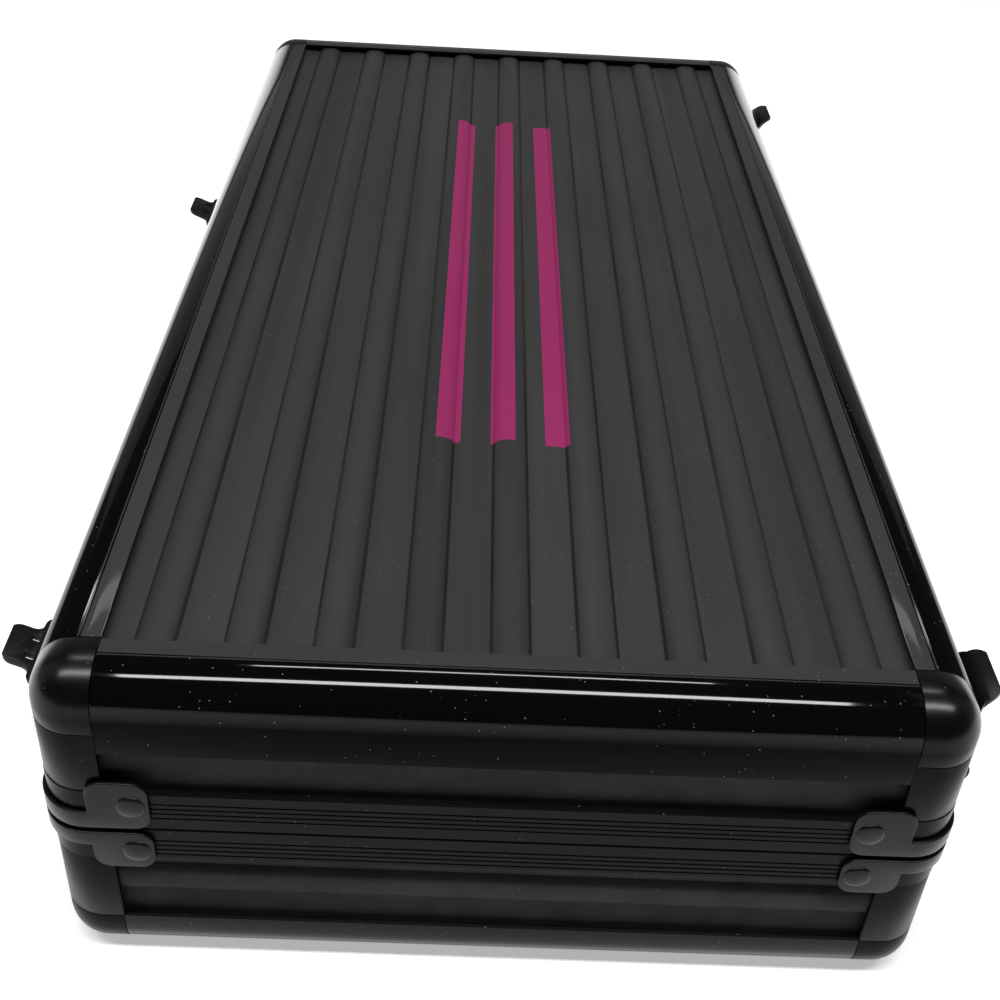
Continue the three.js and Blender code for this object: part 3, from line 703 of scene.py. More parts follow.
def gloss_corner():
    made = Finish("gloss black moulded corner", Specular_IOR_Level=0.07, Coat_Roughness=0.26, Coat_IOR=1.3)
    smear = made.noise(14, 4)
    ripple = made.noise(90, 2)
    fine = made.noise(700, 2)
    dust = made.specks(900, 0.16, 0.08)
    base = made.mix(smear, grey(0.001), grey(0.0022))
    made.drive("Coat Weight", made.rising(CASE_HEIGHT - EDGE_RADIUS, CASE_HEIGHT - EDGE_RADIUS / 2, 0, 1))
    made.drive("Base Color", made.mix(dust, base, grey(0.14)))
    handled = made.band(smear, 0.4, 0.7, 0.24, 0.34)
    made.drive("Roughness", made.math(handled, made.band(dust, 0, 1, 0, 0.25)))
    made.drive("Normal", made.bump(fine, 0.00001, 0.3, made.bump(ripple, 0.00012, 0.25)))
    return made.material


def satin_frame():
    made = Finish("satin black anodised frame", Specular_IOR_Level=0.07)
    drawn = made.noise(60, 4, (0.15, 0.15, 6))
    dust = made.specks(900, 0.17, 0.1)
    base = made.mix(drawn, grey(0.0022), grey(0.005))
    made.drive("Base Color", made.mix(dust, base, grey(0.15)))
    made.drive("Roughness", made.band(drawn, 0.3, 0.7, 0.26, 0.38))
    made.drive("Normal", made.bump(drawn, 0.00003, 0.3))
    return made.material


def satin_sheet(name, low, high, roughness=(0.3, 0.42)):
    made = Finish(name, Specular_IOR_Level=0.2)
    cloud = made.noise(45, 4)
    fine = made.noise(1100, 3)
    dust = made.specks(700, 0.15, 0.08)
    made.drive("Base Color", made.mix(dust, made.mix(cloud, grey(low), grey(high)), grey(0.13)))
    rough = made.band(cloud, 0.3, 0.7, *roughness)
    made.drive("Roughness", made.math(rough, made.band(fine, 0, 1, -0.04, 0.04)))
    made.drive("Normal", made.bump(fine, 0.00004, 0.5))
    return made.material


def dark_steel():
    made = Finish("blackened steel wire", Metallic=1.0)
    cloud = made.noise(70, 4)
    fine = made.noise(900, 3, (1, 0.1, 1))
    made.drive("Base Color", made.mix(cloud, grey(0.05), grey(0.11)))
    rough = made.band(cloud, 0.3, 0.7, 0.24, 0.4)
    made.drive("Roughness", made.math(rough, made.band(fine, 0, 1, -0.05, 0.05)))
    made.drive("Normal", made.bump(fine, 0.00003, 0.4))
    return made.material


def moulded_grip():
    made = Finish("moulded black grip")
    cloud = made.noise(30, 3)
    grain = made.add("ShaderNodeTexVoronoi", {"Vector": made.place, "Scale": 900.0}).outputs["Distance"]
    made.drive("Base Color", made.mix(cloud, grey(0.009), grey(0.016)))
    made.drive("Roughness", made.band(cloud, 0.3, 0.7, 0.48, 0.6))
    made.drive("Normal", made.bump(grain, 0.00012, 0.6))
    return made.material


def cut_foam():
    made = Finish("cut charcoal foam")
    cloud = made.noise(25, 4)
    cells = made.add("ShaderNodeTexVoronoi", {"Vector": made.place, "Scale": 1300.0}).outputs["Distance"]
    base = made.mix(cloud, grey(0.014, (1, 1, 1.05)), grey(0.026, (1, 1, 1.05)))
    made.drive("Base Color", made.mix(made.band(cells, 0.1, 0.6), base, grey(0.045, (1, 1, 1.05))))
    made.drive("Roughness", made.band(cloud, 0.2, 0.8, 0.88, 0.98))
    made.drive("Normal", made.bump(cells, 0.0004, 0.8))
    return made.material


FINISHES = {
    "ribbed_panel": ribbed_film("ribbed charcoal film", 0.18),
    "edge_profile": gloss_profile(),
    "corner_piece": gloss_corner(),
    "closure_frame": satin_frame(),
    "corner_bracket": satin_sheet("satin black bracket paint", 0.003, 0.006, (0.2, 0.3)),
    "hinge_leaf": satin_sheet("black hinge paint", 0.004, 0.008),
    "latch_sheet": satin_sheet("black latch paint", 0.003, 0.007, (0.24, 0.36)),
    "pin_steel": dark_steel(),
    "handle_grip": moulded_grip(),
    "foam": cut_foam(),
}
SIDE_FILM = ribbed_film("duller film of the walls", 0.03)


def fit(piece, node, body, slot, finish=None):
    """The finished piece stands for its node, rides on its body and gets its finish."""
    leave()
    piece.data.materials.clear()
    piece.data.materials.append(finish or FINISHES[slot])
    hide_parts(node)
    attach(piece, body)
    return piece


# Edge profiles
def profile_section(half):
    shoulder = EDGE_RADIUS + PROFILE_GROOVE
    flange = half["flange"]
    return [
        (0, flange),
        *arc((EDGE_RADIUS, EDGE_RADIUS), EDGE_RADIUS, 180, 270, RADIUS_STEPS),
        (shoulder - PROFILE_GROOVE / 2, PROFILE_GROOVE),
        (shoulder, 0),
        (TOP_FLANGE, 0),
        (TOP_FLANGE, SKIN),
        (ROOT, SKIN),
        (ROOT, SLOT_END),
        (TOP_FLANGE - LEG_INSET, SLOT_END),
        (TOP_FLANGE - LEG_INSET, LEG_BACK),
        (LEG_BACK, LEG_BACK),
        (LEG_BACK, flange - LEG_INSET),
        (SLOT_END, flange - LEG_INSET),
        (SLOT_END, ROOT),
        (SKIN, ROOT),
        (SKIN, flange),
    ]


def side_place(half, side, inset, depth, along):
    """A place by its way in from one side's outer face, its depth and its way along that side."""
    (x, y), reach = SIDES[side][:2]
    across = (along, 0) if x == 0 else (0, along)
    return at(x * (reach - inset) + across[0], y * (reach - inset) + across[1], depth_at(half, depth))


def drawn_along(name, half, side, section, run):
    """A section drawn out along one side, over the middle part of its length."""
    places = [side_place(half, side, inset, depth, -run / 2) for inset, depth in section]
    step = side_place(half, side, 0, 0, run / 2) - side_place(half, side, 0, 0, -run / 2)
    return draw_out(name, places, step)


def edge_profile(name, half, side):
    run = SIDES[side][2] - 2 * TOP_FLANGE - 2 * FIT_GAP
    piece = drawn_along(f"{name}_{side}_edge_profile", half, side, profile_section(half), run)
    bevel(piece, PROFILE_EASE)
    smooth(piece, 30)
    fit(piece, f"{name}_{side}_edge", name, "edge_profile")


# Ribbed panels
def arch(points, start, end, rise, steps):
    for step in range(steps):
        along = 2 * step / steps - 1
        points.append((start + (end - start) * step / steps, rise * (1 - abs(along) ** ARCH_POWER)))


def ribbed_line(start, end, centres):
    points = []
    here = start
    for centre in centres:
        arch(points, here, centre - RIB_WIDTH / 2, CROWN, CROWN_STEPS)
        arch(points, centre - RIB_WIDTH / 2, centre + RIB_WIDTH / 2, RIB_HEIGHT, RIB_STEPS)
        here = centre + RIB_WIDTH / 2
    arch(points, here, end, CROWN, CROWN_STEPS)
    points.append((end, 0))
    return points


def wide_panel(name, half, word):
    edge = HALF_WIDTH - ROOT - FIT_GAP
    run = CASE_LENGTH - 2 * (ROOT + FIT_GAP)
    centres = [(index - (RIB_COUNT - 1) / 2) * RIB_PITCH for index in range(RIB_COUNT)]
    section = [(along, BAND_FACE - rise) for along, rise in ribbed_line(-edge, edge, centres)]
    section += [(edge, PANEL_BACK), (-edge, PANEL_BACK)]
    places = [at(along, -run / 2, depth_at(half, depth)) for along, depth in section]
    piece = draw_out(f"{name}_{word}_ribbed_panel", places, (0, run * MM, 0))
    smooth(piece, 24)
    fit(piece, f"{name}_{word}_panel", name, "ribbed_panel")


def side_panel(name, half, side):
    top = ROOT + FIT_GAP
    bottom = half["height"] - SEAM_GAP / 2 - PANEL_SEAT - FIT_GAP
    run = SIDES[side][2] - 2 * PANEL_TUCK
    section = [(BAND_FACE - rise, depth) for depth, rise in ribbed_line(top, bottom, [half["rib"]])]
    section += [(PANEL_BACK, bottom), (PANEL_BACK, top)]
    piece = drawn_along(f"{name}_{side}_ribbed_panel", half, side, section, run)
    smooth(piece, 24)
    fit(piece, f"{name}_{side}_panel", name, "ribbed_panel", SIDE_FILM)


# Corner pieces: the corner of a block with round edges, cut free and given its wall
def rounded_block():
    piece = block("corner_block", at(-HALF_WIDTH, -HALF_LENGTH, 0), at(HALF_WIDTH, HALF_LENGTH, CASE_HEIGHT))
    edit()
    select_all()
    bpy.ops.mesh.bevel(offset=EDGE_RADIUS * MM, segments=CORNER_STEPS, affect="EDGES", clamp_overlap=False)
    leave()
    return piece


def corner_piece(shape, name, half, corner):
    x, y = CORNERS[corner]
    foot = half["height"] - SEAM_GAP / 2 - half["closure"] - FIT_GAP
    piece = copy_of(shape, f"{name}_{corner}_corner_piece", Matrix.Identity(4))
    take(piece)
    edit()
    slice_at(at(x * (HALF_WIDTH - TOP_FLANGE), 0, 0), (-x, 0, 0), clear_outer=True)
    slice_at(at(0, y * (HALF_LENGTH - TOP_FLANGE), 0), (0, -y, 0), clear_outer=True)
    slice_at(at(0, 0, depth_at(half, foot)), (0, 0, half["inward"]), clear_outer=True)
    # A thin join line rings the ball end
    for depth in (BALL_REACH, BALL_REACH + PROFILE_GROOVE):
        slice_at(at(0, 0, depth_at(half, depth)), (0, 0, 1))
    middle = depth_at(half, BALL_REACH + PROFILE_GROOVE / 2) * MM
    near = 0.3 * PROFILE_GROOVE * MM
    select_where(piece, "FACE", lambda face: abs(face.center.z - middle) < near)
    bpy.ops.mesh.extrude_region_shrink_fatten(TRANSFORM_OT_shrink_fatten={"value": -PROFILE_GROOVE / 2 * MM})
    leave()
    thicken(piece, SKIN)
    bevel(piece, CORNER_EASE, angle=50)
    join_all(piece, skirt(half, corner))
    smooth(piece, 30)
    fit(piece, f"{name}_{corner}_corner", name, "corner_piece")


# Closure frames: one section drawn, run along the sides and spun round the corners
def groove_line():
    points = []
    for index in range(GROOVE_COUNT):
        middle = GROOVE_START + index * GROOVE_PITCH
        low, high = middle - GROOVE_WIDTH / 2, middle + GROOVE_WIDTH / 2
        points += [(0, low), (GROOVE_DEPTH, low), (GROOVE_DEPTH, high), (0, high)]
    return points


def closure_section(name, half):
    inner = TONGUE_INSET + TONGUE_WIDTH
    height = half["closure"]
    if name == "lid":
        mating = [(inner, 0), (inner, -TONGUE_HEIGHT), (TONGUE_INSET, -TONGUE_HEIGHT), (TONGUE_INSET, 0)]
    else:
        deep = TONGUE_HEIGHT + SEAM_GAP
        wide, near = inner + TONGUE_SWING_GAP, TONGUE_INSET - TONGUE_SIDE_GAP
        mating = [(wide, 0), (wide, deep), (near, deep), (near, 0)]
    return [
        (GROOVE_DEPTH / 2, 0),
        (0, GROOVE_DEPTH / 2),
        *groove_line(),
        (0, height - GROOVE_DEPTH),
        (GROOVE_DEPTH, height),
        (CLOSURE_LIP, height),
        (CLOSURE_LIP, height - CLOSURE_LEDGE),
        (SLOT_START, height - CLOSURE_LEDGE),
        (SLOT_START, PANEL_SEAT),
        (SLOT_END, PANEL_SEAT),
        (SLOT_END, height - CLOSURE_LEDGE),
        (LEG_BACK, height - CLOSURE_LEDGE),
        (LEG_BACK, 0),
        *mating,
    ]


def closure_frame(name, half):
    seam = BASE_HEIGHT - half["inward"] * SEAM_GAP / 2
    turn_x, turn_y = HALF_WIDTH - EDGE_RADIUS, HALF_LENGTH - EDGE_RADIUS
    section = closure_section(name, half)
    places = [at(HALF_WIDTH - inset, -turn_y, seam - half["inward"] * up) for inset, up in section]
    piece = draw_line(f"{name}_closure_frame_profile", places, closed=True)
    sides = ((0, 2 * turn_y), (-2 * turn_x, 0), (0, -2 * turn_y), (2 * turn_x, 0))
    centres = ((turn_x, turn_y), (-turn_x, turn_y), (-turn_x, -turn_y), (turn_x, -turn_y))
    for (x, y), centre in zip(sides, centres):
        push(Vector((x, y, 0)) * MM)
        bpy.ops.mesh.spin(
            steps=FRAME_CORNER_STEPS, angle=-math.pi / 2, center=at(*centre, 0), axis=(0, 0, 1), dupli=False
        )
    weld(FRAME_WELD)
    face_out()
    leave()
    smooth(piece, 28)
    fit(piece, f"{name}_closure_frame", name, "closure_frame")


# Corner brackets
def rivet_head():
    """A low dome with a narrow rim, standing up from the middle of the case's frame."""
    deselect()
    bpy.ops.mesh.primitive_uv_sphere_add(
        segments=RIVET_SIDES, ring_count=RIVET_RINGS, radius=RIVET_RADIUS * MM, location=at(0, 0, 0)
    )
    piece = name_piece("rivet_head")
    edit()
    slice_at(at(0, 0, 0), (0, 0, -1), use_fill=True, clear_outer=True)
    select_all()
    bpy.ops.transform.resize(value=(1, 1, RIVET_RISE / RIVET_RADIUS), center_override=at(0, 0, 0))
    face_out()
    select_where(piece, "FACE", lambda face: face.center.z < NEAR * MM)
    push(Vector((0, 0, -RIVET_SINK * MM)))
    face_out()
    leave()
    return piece


def aimed(place, out):
    """A matrix that takes the rivet from the case's middle to a place, its dome facing out."""
    turn = Vector((0, 0, 1)).rotation_difference(Vector(out)).to_matrix().to_4x4()
    return Matrix.Translation(place) @ turn @ Matrix.Translation(-at(0, 0, 0))


def strip_round(name, corner, levels, out, ends):
    """A strip that stands up between two levels and bends round a corner, left in edit mode."""
    x, y = CORNERS[corner]
    low, high = levels
    start = at(x * (HALF_WIDTH - ends[0]), y * (HALF_LENGTH + out), low)
    piece = draw_line(name, [start, start + Vector((0, 0, (high - low) * MM))])
    push(Vector((x * (ends[0] - EDGE_RADIUS) * MM, 0, 0)))
    centre = at(x * (HALF_WIDTH - EDGE_RADIUS), y * (HALF_LENGTH - EDGE_RADIUS), 0)
    angle = math.pi / 2 * (-1 if x * y < 0 else 1)
    bpy.ops.mesh.spin(steps=BRACKET_BEND_STEPS, angle=angle, center=centre, axis=(0, 0, 1), dupli=False)
    push(Vector((0, -y * (ends[1] - EDGE_RADIUS) * MM, 0)))
    weld(BEND_WELD)
    return piece


def skirt(half, corner):
    """The corner's skin over the closure frame's bend, from the post down to the bracket's strap."""
    top = depth_at(half, half["height"] - SEAM_GAP / 2 - half["closure"] - FIT_GAP - SKIRT_LAP)
    foot = BASE_HEIGHT - half["inward"] * (SEAM_GAP / 2 + half["strap"] - SKIRT_LAP)
    end = BRACKET_PLATE_FROM + SKIRT_UNDER
    piece = strip_round("skirt", corner, (foot, top), SKIRT_OUT, (end, end))
    leave()
    set_outwards(piece, CORNERS[corner])
    return thicken(piece, SKIRT_OUT)


def corner_bracket(rivet, name, half, corner):
    x, y = CORNERS[corner]
    seam = BASE_HEIGHT - half["inward"] * SEAM_GAP / 2
    low, strap, high = (seam - half["inward"] * half[level] for level in ("low", "strap", "high"))
    ends = (BRACKET_END, BRACKET_SIDE)
    piece = strip_round(f"{name}_{corner}_corner_bracket", corner, (low, high), BRACKET_GAP, ends)
    notch = (HALF_WIDTH - BRACKET_PLATE_FROM, HALF_LENGTH - BRACKET_PLATE_FROM)
    slice_at(at(0, 0, strap), (0, 0, 1))
    slice_at(at(x * notch[0], 0, 0), (1, 0, 0))
    slice_at(at(0, y * notch[1], 0), (0, 1, 0))

    def in_notch(part):
        place = (part.center - MIDDLE) / MM
        over_strap = (place.z - strap) * (high - low) > 0
        return over_strap and all(abs(place[axis]) > notch[axis] for axis in (0, 1))

    select_where(piece, "FACE", in_notch)
    bpy.ops.mesh.delete(type="FACE")
    select_all()
    bpy.ops.mesh.dissolve_limited(angle_limit=math.radians(1))
    tips = ((HALF_WIDTH - BRACKET_END, 0), (HALF_LENGTH - BRACKET_SIDE, 1))

    def is_tip(vertex):
        place = (vertex.co - MIDDLE) / MM
        at_end = any(abs(abs(place[axis]) - reach) < NEAR for reach, axis in tips)
        at_notch = any(abs(abs(place[axis]) - notch[axis]) < NEAR for axis in (0, 1))
        return at_end or (at_notch and abs(place.z - high) < NEAR)

    select_where(piece, "VERT", is_tip)
    bpy.ops.mesh.bevel(offset=BRACKET_ROUND * MM, segments=BRACKET_ROUND_STEPS, affect="VERTICES")
    face_out()
    leave()
    set_outwards(piece, (x, y))
    thicken(piece, BRACKET_SHEET, 1)
    bevel(piece, BRACKET_EASE, 3)
    middle = (low + high) / 2
    out = BRACKET_GAP + BRACKET_SHEET
    spots = [
        (at(x * (HALF_WIDTH - BRACKET_END + RIVET_INSET), y * (HALF_LENGTH + out), middle), (0, y, 0)),
        (at(x * (HALF_WIDTH + out), y * (HALF_LENGTH - BRACKET_SIDE + RIVET_INSET), middle), (x, 0, 0)),
    ]
    heads = [copy_of(rivet, "head", aimed(*spot)) for spot in spots]
    join_all(piece, *heads)
    smooth(piece, 35)
    fit(piece, f"{name}_{corner}_bracket", name, "corner_bracket")


def set_outwards(piece, way):
    """Turns an open strip's faces so that they look away from the case."""
    way = Vector((way[0], way[1], 0))
    if sum(face.normal.dot(way) * face.area for face in piece.data.polygons) < 0:
        piece.data.flip_normals()


block_shape = rounded_block()
rivet_shape = rivet_head()
for half_name, half_facts in HALVES.items():
    wide_panel(half_name, half_facts, "bottom" if half_name == "base" else "top")
    for side_name in SIDES:
        edge_profile(half_name, half_facts, side_name)
        side_panel(half_name, half_facts, side_name)
    for corner_name in CORNERS:
        corner_piece(block_shape, half_name, half_facts, corner_name)
        corner_bracket(rivet_shape, half_name, half_facts, corner_name)
    closure_frame(half_name, half_facts)
bpy.data.objects.remove(block_shape)


# Fittings on the long walls: a place goes by its way out from the wall, its height over the seam
# and its way along the case
def left_wall(out, up, along):
    return at(-HALF_WIDTH - out, along, BASE_HEIGHT + up)


def right_wall(out, up, along):
    return at(HALF_WIDTH + out, along, BASE_HEIGHT + up)


def thick_line(line, thickness):
    """The outline of a sheet of even thickness along a line of points."""
    outer, inner = [], []
    for index, (x, y) in enumerate(line):
        before, after = line[max(index - 1, 0)], line[min(index + 1, len(line) - 1)]
        way = Vector((after[0] - before[0], after[1] - before[1])).normalized() * thickness / 2
        outer.append((x - way.y, y + way.x))
        inner.append((x + way.y, y - way.x))
    return outer + inner[::-1]


def curved(start, bow, flare, tip, steps):
    """Points on a smooth curve that leaves its start towards the bow and reaches its tip from the flare."""
    corners = (start, bow, flare, tip)
    points = []
    for step in range(steps + 1):
        t = step / steps
        shares = ((1 - t) ** 3, 3 * t * (1 - t) ** 2, 3 * t * t * (1 - t), t**3)
        out, up = (sum(s * corner[axis] for s, corner in zip(shares, corners)) for axis in (0, 1))
        points.append((out, up))
    return points


def drawn_on(wall, name, outline, start, width):
    """A piece drawn in its side view and drawn out along the case."""
    return draw_out(name, [wall(out, up, start) for out, up in outline], (0, width * MM, 0))


def sheet_on(wall, name, line, thickness, middle, width):
    """A sheet whose side view is a line of places, drawn out along the case."""
    return drawn_on(wall, name, thick_line(line, thickness), middle - width / 2, width)


def cut_to_plan(wall, piece, side, middle):
    """Trims a sheet to an outline seen from above; the side's points are mirrored over its middle."""
    outline = side + [(out, -along) for out, along in reversed(side)]
    places = [wall(out, -BASE_HEIGHT, middle + along) for out, along in outline]
    plan = draw_out("plan", places, (0, 0, CASE_HEIGHT * MM))
    return combine(piece, plan, operation="INTERSECT")


def plate_on(wall, name, out, up, along, corner):
    """A flat plate on a wall, its corners rounded and its edges eased."""
    piece = block(name, wall(out[0], up[0], along[0]), wall(out[1], up[1], along[1]))
    take(piece)
    edit()

    def runs_out(edge):
        first, second = (piece.data.vertices[index].co for index in edge.vertices)
        return abs(first.x - second.x) > abs(first.y - second.y) + abs(first.z - second.z)

    select_where(piece, "EDGE", runs_out)
    bpy.ops.mesh.bevel(offset=corner * MM, segments=PLATE_CORNER_STEPS, affect="EDGES")
    leave()
    return bevel(piece)


def rivets_on(wall, plate, face, up, alongs):
    way = (wall(1, 0, 0) - wall(0, 0, 0)).normalized()
    heads = [copy_of(rivet_shape, "head", aimed(wall(face, up, along), way)) for along in alongs]
    return join_all(plate, *heads)


# Hinges
def stop_tongue(y):
    flat = [(out, -STOP_DOWN) for out in STOP_BEND_OUT]
    line = [
        (BRACKET_GAP + SINK, -STOP_DOWN),
        *curved(*flat, STOP_BEND_END, SHEET_BEND_STEPS),
        (STOP_TIP_OUT, -STOP_TIP_DOWN),
    ]
    piece = sheet_on(left_wall, "tongue", line, STOP_SHEET, y, STOP_SHELF_WIDTH)
    half, wide = STOP_WIDTH / 2, STOP_SHELF_WIDTH / 2
    shelf, tip, steps = STOP_SHELF_RADIUS, STOP_TIP_RADIUS, SHEET_BEND_STEPS
    side = [
        (BRACKET_GAP, -wide),
        *arc((STOP_SHELF_OUT - shelf, shelf - wide), shelf, -90, 0, steps),
        *arc((STOP_SHELF_OUT + shelf, -half - shelf), shelf, 180, 90, steps)[1:],
        *arc((STOP_TIP_OUT - tip, tip - half), tip, -90, 0, steps),
    ]
    cut_to_plan(left_wall, piece, side, y)
    for way in (-1, 1):
        along = y + way * STOP_SLOT_APART / 2
        slot = block(
            "slot",
            left_wall(STOP_SLOT_OUT, STOP_SLOT_LEVELS[0], along - STOP_SLOT_WIDTH / 2),
            left_wall(STOP_SLOT_OUT + STOP_SLOT_LENGTH, STOP_SLOT_LEVELS[1], along + STOP_SLOT_WIDTH / 2),
        )
        carve(piece, slot)
    return bevel(piece)


def knuckle(y, low, high, way):
    """A rolled barrel on the pin's line with the web that carries it."""
    place = left_wall(HINGE_PIN_OUT, 0, y + (low + high) / 2)
    barrel = bevel(rod("barrel", place, HINGE_KNUCKLE_RADIUS, high - low))
    levels = (way * HINGE_WEB_GAP, way * (HINGE_KNUCKLE_RADIUS - TRIM))
    near = left_wall(BRACKET_GAP + SINK, levels[0], y + low + EASE)
    web = block("web", near, left_wall(HINGE_PIN_OUT, levels[1], y + high - EASE))
    return combine(barrel, web)


def hinge(y):
    half = HINGE_WIDTH / 2
    face = BRACKET_GAP + HINGE_SHEET
    spots = (y - half + HINGE_OUTER_KNUCKLE, y + half - HINGE_OUTER_KNUCKLE)
    middle = (HINGE_FROM + HINGE_TO) / 2
    reach = half - HINGE_OUTER_KNUCKLE - HINGE_KNUCKLE_GAP
    out, along, corner = (BRACKET_GAP, face), (y - half, y + half), HINGE_LEAF_CORNER
    lower = plate_on(left_wall, "hinge_lower_leaf", out, (-HINGE_TO, -HINGE_FROM), along, corner)
    upper = plate_on(left_wall, "hinge_upper_leaf", out, (HINGE_FROM, HINGE_TO), along, corner)
    combine(lower, knuckle(y, -half, HINGE_OUTER_KNUCKLE - half, -1))
    combine(lower, knuckle(y, half - HINGE_OUTER_KNUCKLE, half, -1))
    combine(lower, stop_tongue(y))
    combine(upper, knuckle(y, -reach, reach, 1))
    pivot = left_wall(HINGE_PIN_OUT, 0, y)
    for leaf, way in ((lower, -1), (upper, 1)):
        carve(leaf, rod("bore", pivot, HINGE_PIN_RADIUS + HINGE_BORE_GAP, HINGE_WIDTH + BORE_OVER))
        rivets_on(left_wall, leaf, face, way * middle, spots)
    length = half + HINGE_KNUCKLE_GAP
    pin = rod("hinge_pin", pivot, HINGE_PIN_RADIUS, 2 * length + HINGE_PIN_HEAD)
    for way in (-1, 1):
        place = left_wall(HINGE_PIN_OUT, 0, y + way * (length + HINGE_PIN_HEAD / 2))
        head = rod("head", place, HINGE_PIN_HEAD_RADIUS, HINGE_PIN_HEAD)
        combine(pin, bevel(head, HINGE_PIN_HEAD_EASE, 3))
    return {"lower_leaf": lower, "upper_leaf": upper, "pin": pin}


# Latches
def latch_plate(y):
    half, face = LATCH_WIDTH / 2, BRACKET_GAP + LATCH_SHEET
    out, along = (BRACKET_GAP, face), (y - half, y + half)
    plate = plate_on(right_wall, "latch_plate", out, (LATCH_FROM, LATCH_TO), along, LATCH_CORNER)
    outline = [
        (BRACKET_GAP + SINK, LATCH_PIVOT_UP - EAR_RADIUS),
        *arc((EAR_REACH - EAR_RADIUS, LATCH_PIVOT_UP), EAR_RADIUS, -90, 90, EAR_STEPS),
        (BRACKET_GAP + SINK, LATCH_PIVOT_UP + EAR_RADIUS),
    ]
    stub = LATCH_SHEET + CHEEK_GAP + LEVER_SHEET - SINK
    for way in (-1, 1):
        inner = y + way * (half - TRIM) - (LATCH_SHEET if way > 0 else 0)
        combine(plate, bevel(drawn_on(right_wall, "ear", outline, inner, LATCH_SHEET)))
        place = right_wall(LATCH_PIVOT_OUT, LATCH_PIVOT_UP, y + way * (half - SINK - stub / 2))
        combine(plate, bevel(rod("stub", place, LATCH_PIVOT_RADIUS, stub), STUB_EASE))
    spots = (y - half + RIVET_INSET, y + half - RIVET_INSET)
    return rivets_on(right_wall, plate, face, LATCH_TO - RIVET_INSET, spots)


def latch_lever(y):
    line = curved(LEVER_START, LEVER_BOW, LEVER_FLARE, LEVER_TIP, LEVER_STEPS)
    face = sheet_on(right_wall, "latch_lever", line, LEVER_SHEET, y, LEVER_WIDTH)
    far = LEVER_TIP[0] + LEVER_SHEET / 2
    tip = (far - LEVER_TIP_RADIUS, LEVER_TIP_RADIUS - LEVER_TIP_WIDTH / 2)
    side = [
        (0, -LEVER_WIDTH / 2),
        (LEVER_SHOULDER_OUT, -LEVER_WIDTH / 2),
        *arc(tip, LEVER_TIP_RADIUS, -90, 0, LEVER_TIP_STEPS),
    ]
    cut_to_plan(right_wall, face, side, y)
    bevel(face, LEVER_EASE, 3)
    half = LEVER_SHEET / 2
    outline = [
        (LATCH_PIVOT_OUT - EAR_RADIUS / 2, LEVER_FOOT),
        (CHEEK_OUT, LEVER_FOOT),
        (CHEEK_OUT, CHEEK_SHOULDER_UP),
        (LEVER_START[0] + half - TRIM, CHEEK_TOP_UP),
        (LEVER_START[0] - half + TRIM, CHEEK_TOP_UP),
        (HOOK_PIVOT_OUT - HOOK_EYE_RADIUS, HOOK_PIVOT_UP + HOOK_EYE_RADIUS),
        (HOOK_PIVOT_OUT - HOOK_EYE_RADIUS, HOOK_PIVOT_UP - HOOK_EYE_RADIUS),
    ]
    aside = LATCH_WIDTH / 2 - LATCH_SHEET - CHEEK_GAP - LEVER_SHEET / 2
    for way in (-1, 1):
        start = y + way * aside - LEVER_SHEET / 2
        cheek = bevel(drawn_on(right_wall, "cheek", outline, start, LEVER_SHEET))
        for out, up, radius in (
            (LATCH_PIVOT_OUT, LATCH_PIVOT_UP, LATCH_PIVOT_RADIUS),
            (HOOK_PIVOT_OUT, HOOK_PIVOT_UP, HOOK_PIVOT_RADIUS),
        ):
            place = right_wall(out, up, y)
            carve(cheek, rod("bore", place, radius + LATCH_PIVOT_GAP, LEVER_WIDTH + BORE_OVER))
        combine(face, cheek)
    return face


def latch_hook(y):
    inner = [(HOOK_OUT, HOOK_BEND), (HOOK_OUT, HOOK_BEND_EASE)]
    outer = [(HOOK_END_OUT, -HOOK_BEND_EASE), (HOOK_END_OUT, -HOOK_BEND)]
    line = [
        (HOOK_OUT, HOOK_PIVOT_UP),
        *curved(*inner, *outer, SHEET_BEND_STEPS),
        (HOOK_END_OUT, -HOOK_END_DOWN),
    ]
    strap = sheet_on(right_wall, "latch_hook", line, HOOK_SHEET, y, HOOK_WIDTH)
    window = block(
        "window",
        right_wall(0, HOOK_WINDOW_FROM, y - HOOK_WIDTH / 2 + HOOK_RIM),
        right_wall(CHEEK_OUT, HOOK_PIVOT_UP - HOOK_RIM, y + HOOK_WIDTH / 2 - HOOK_RIM),
    )
    carve(strap, window)
    bevel(strap)
    trunnion = LATCH_WIDTH - 2 * (LATCH_SHEET + CHEEK_GAP)
    for out, up, radius, width in (
        (HOOK_PIVOT_OUT, HOOK_PIVOT_UP, HOOK_EYE_RADIUS, HOOK_WIDTH - TRIM),
        (HOOK_PIVOT_OUT, HOOK_PIVOT_UP, HOOK_PIVOT_RADIUS, trunnion),
        (HOOK_END_OUT, -HOOK_END_DOWN, HOOK_END_RADIUS, HOOK_WIDTH - TRIM),
    ):
        combine(strap, bevel(rod("roll", right_wall(out, up, y), radius, width)))
    return strap


def latch_keeper(y):
    half, face = LATCH_WIDTH / 2, BRACKET_GAP + LATCH_SHEET
    out, along = (BRACKET_GAP, face), (y - half, y + half)
    plate = plate_on(right_wall, "latch_keeper", out, (-KEEPER_TO, -KEEPER_FROM), along, LATCH_CORNER)
    lip = block(
        "lip",
        right_wall(BRACKET_GAP + SINK, -KEEPER_LIP_TO, y - KEEPER_LIP_WIDTH / 2),
        right_wall(KEEPER_LIP_OUT, -KEEPER_LIP_FROM, y + KEEPER_LIP_WIDTH / 2),
    )
    return combine(plate, bevel(lip, KEEPER_LIP_EASE, 4))


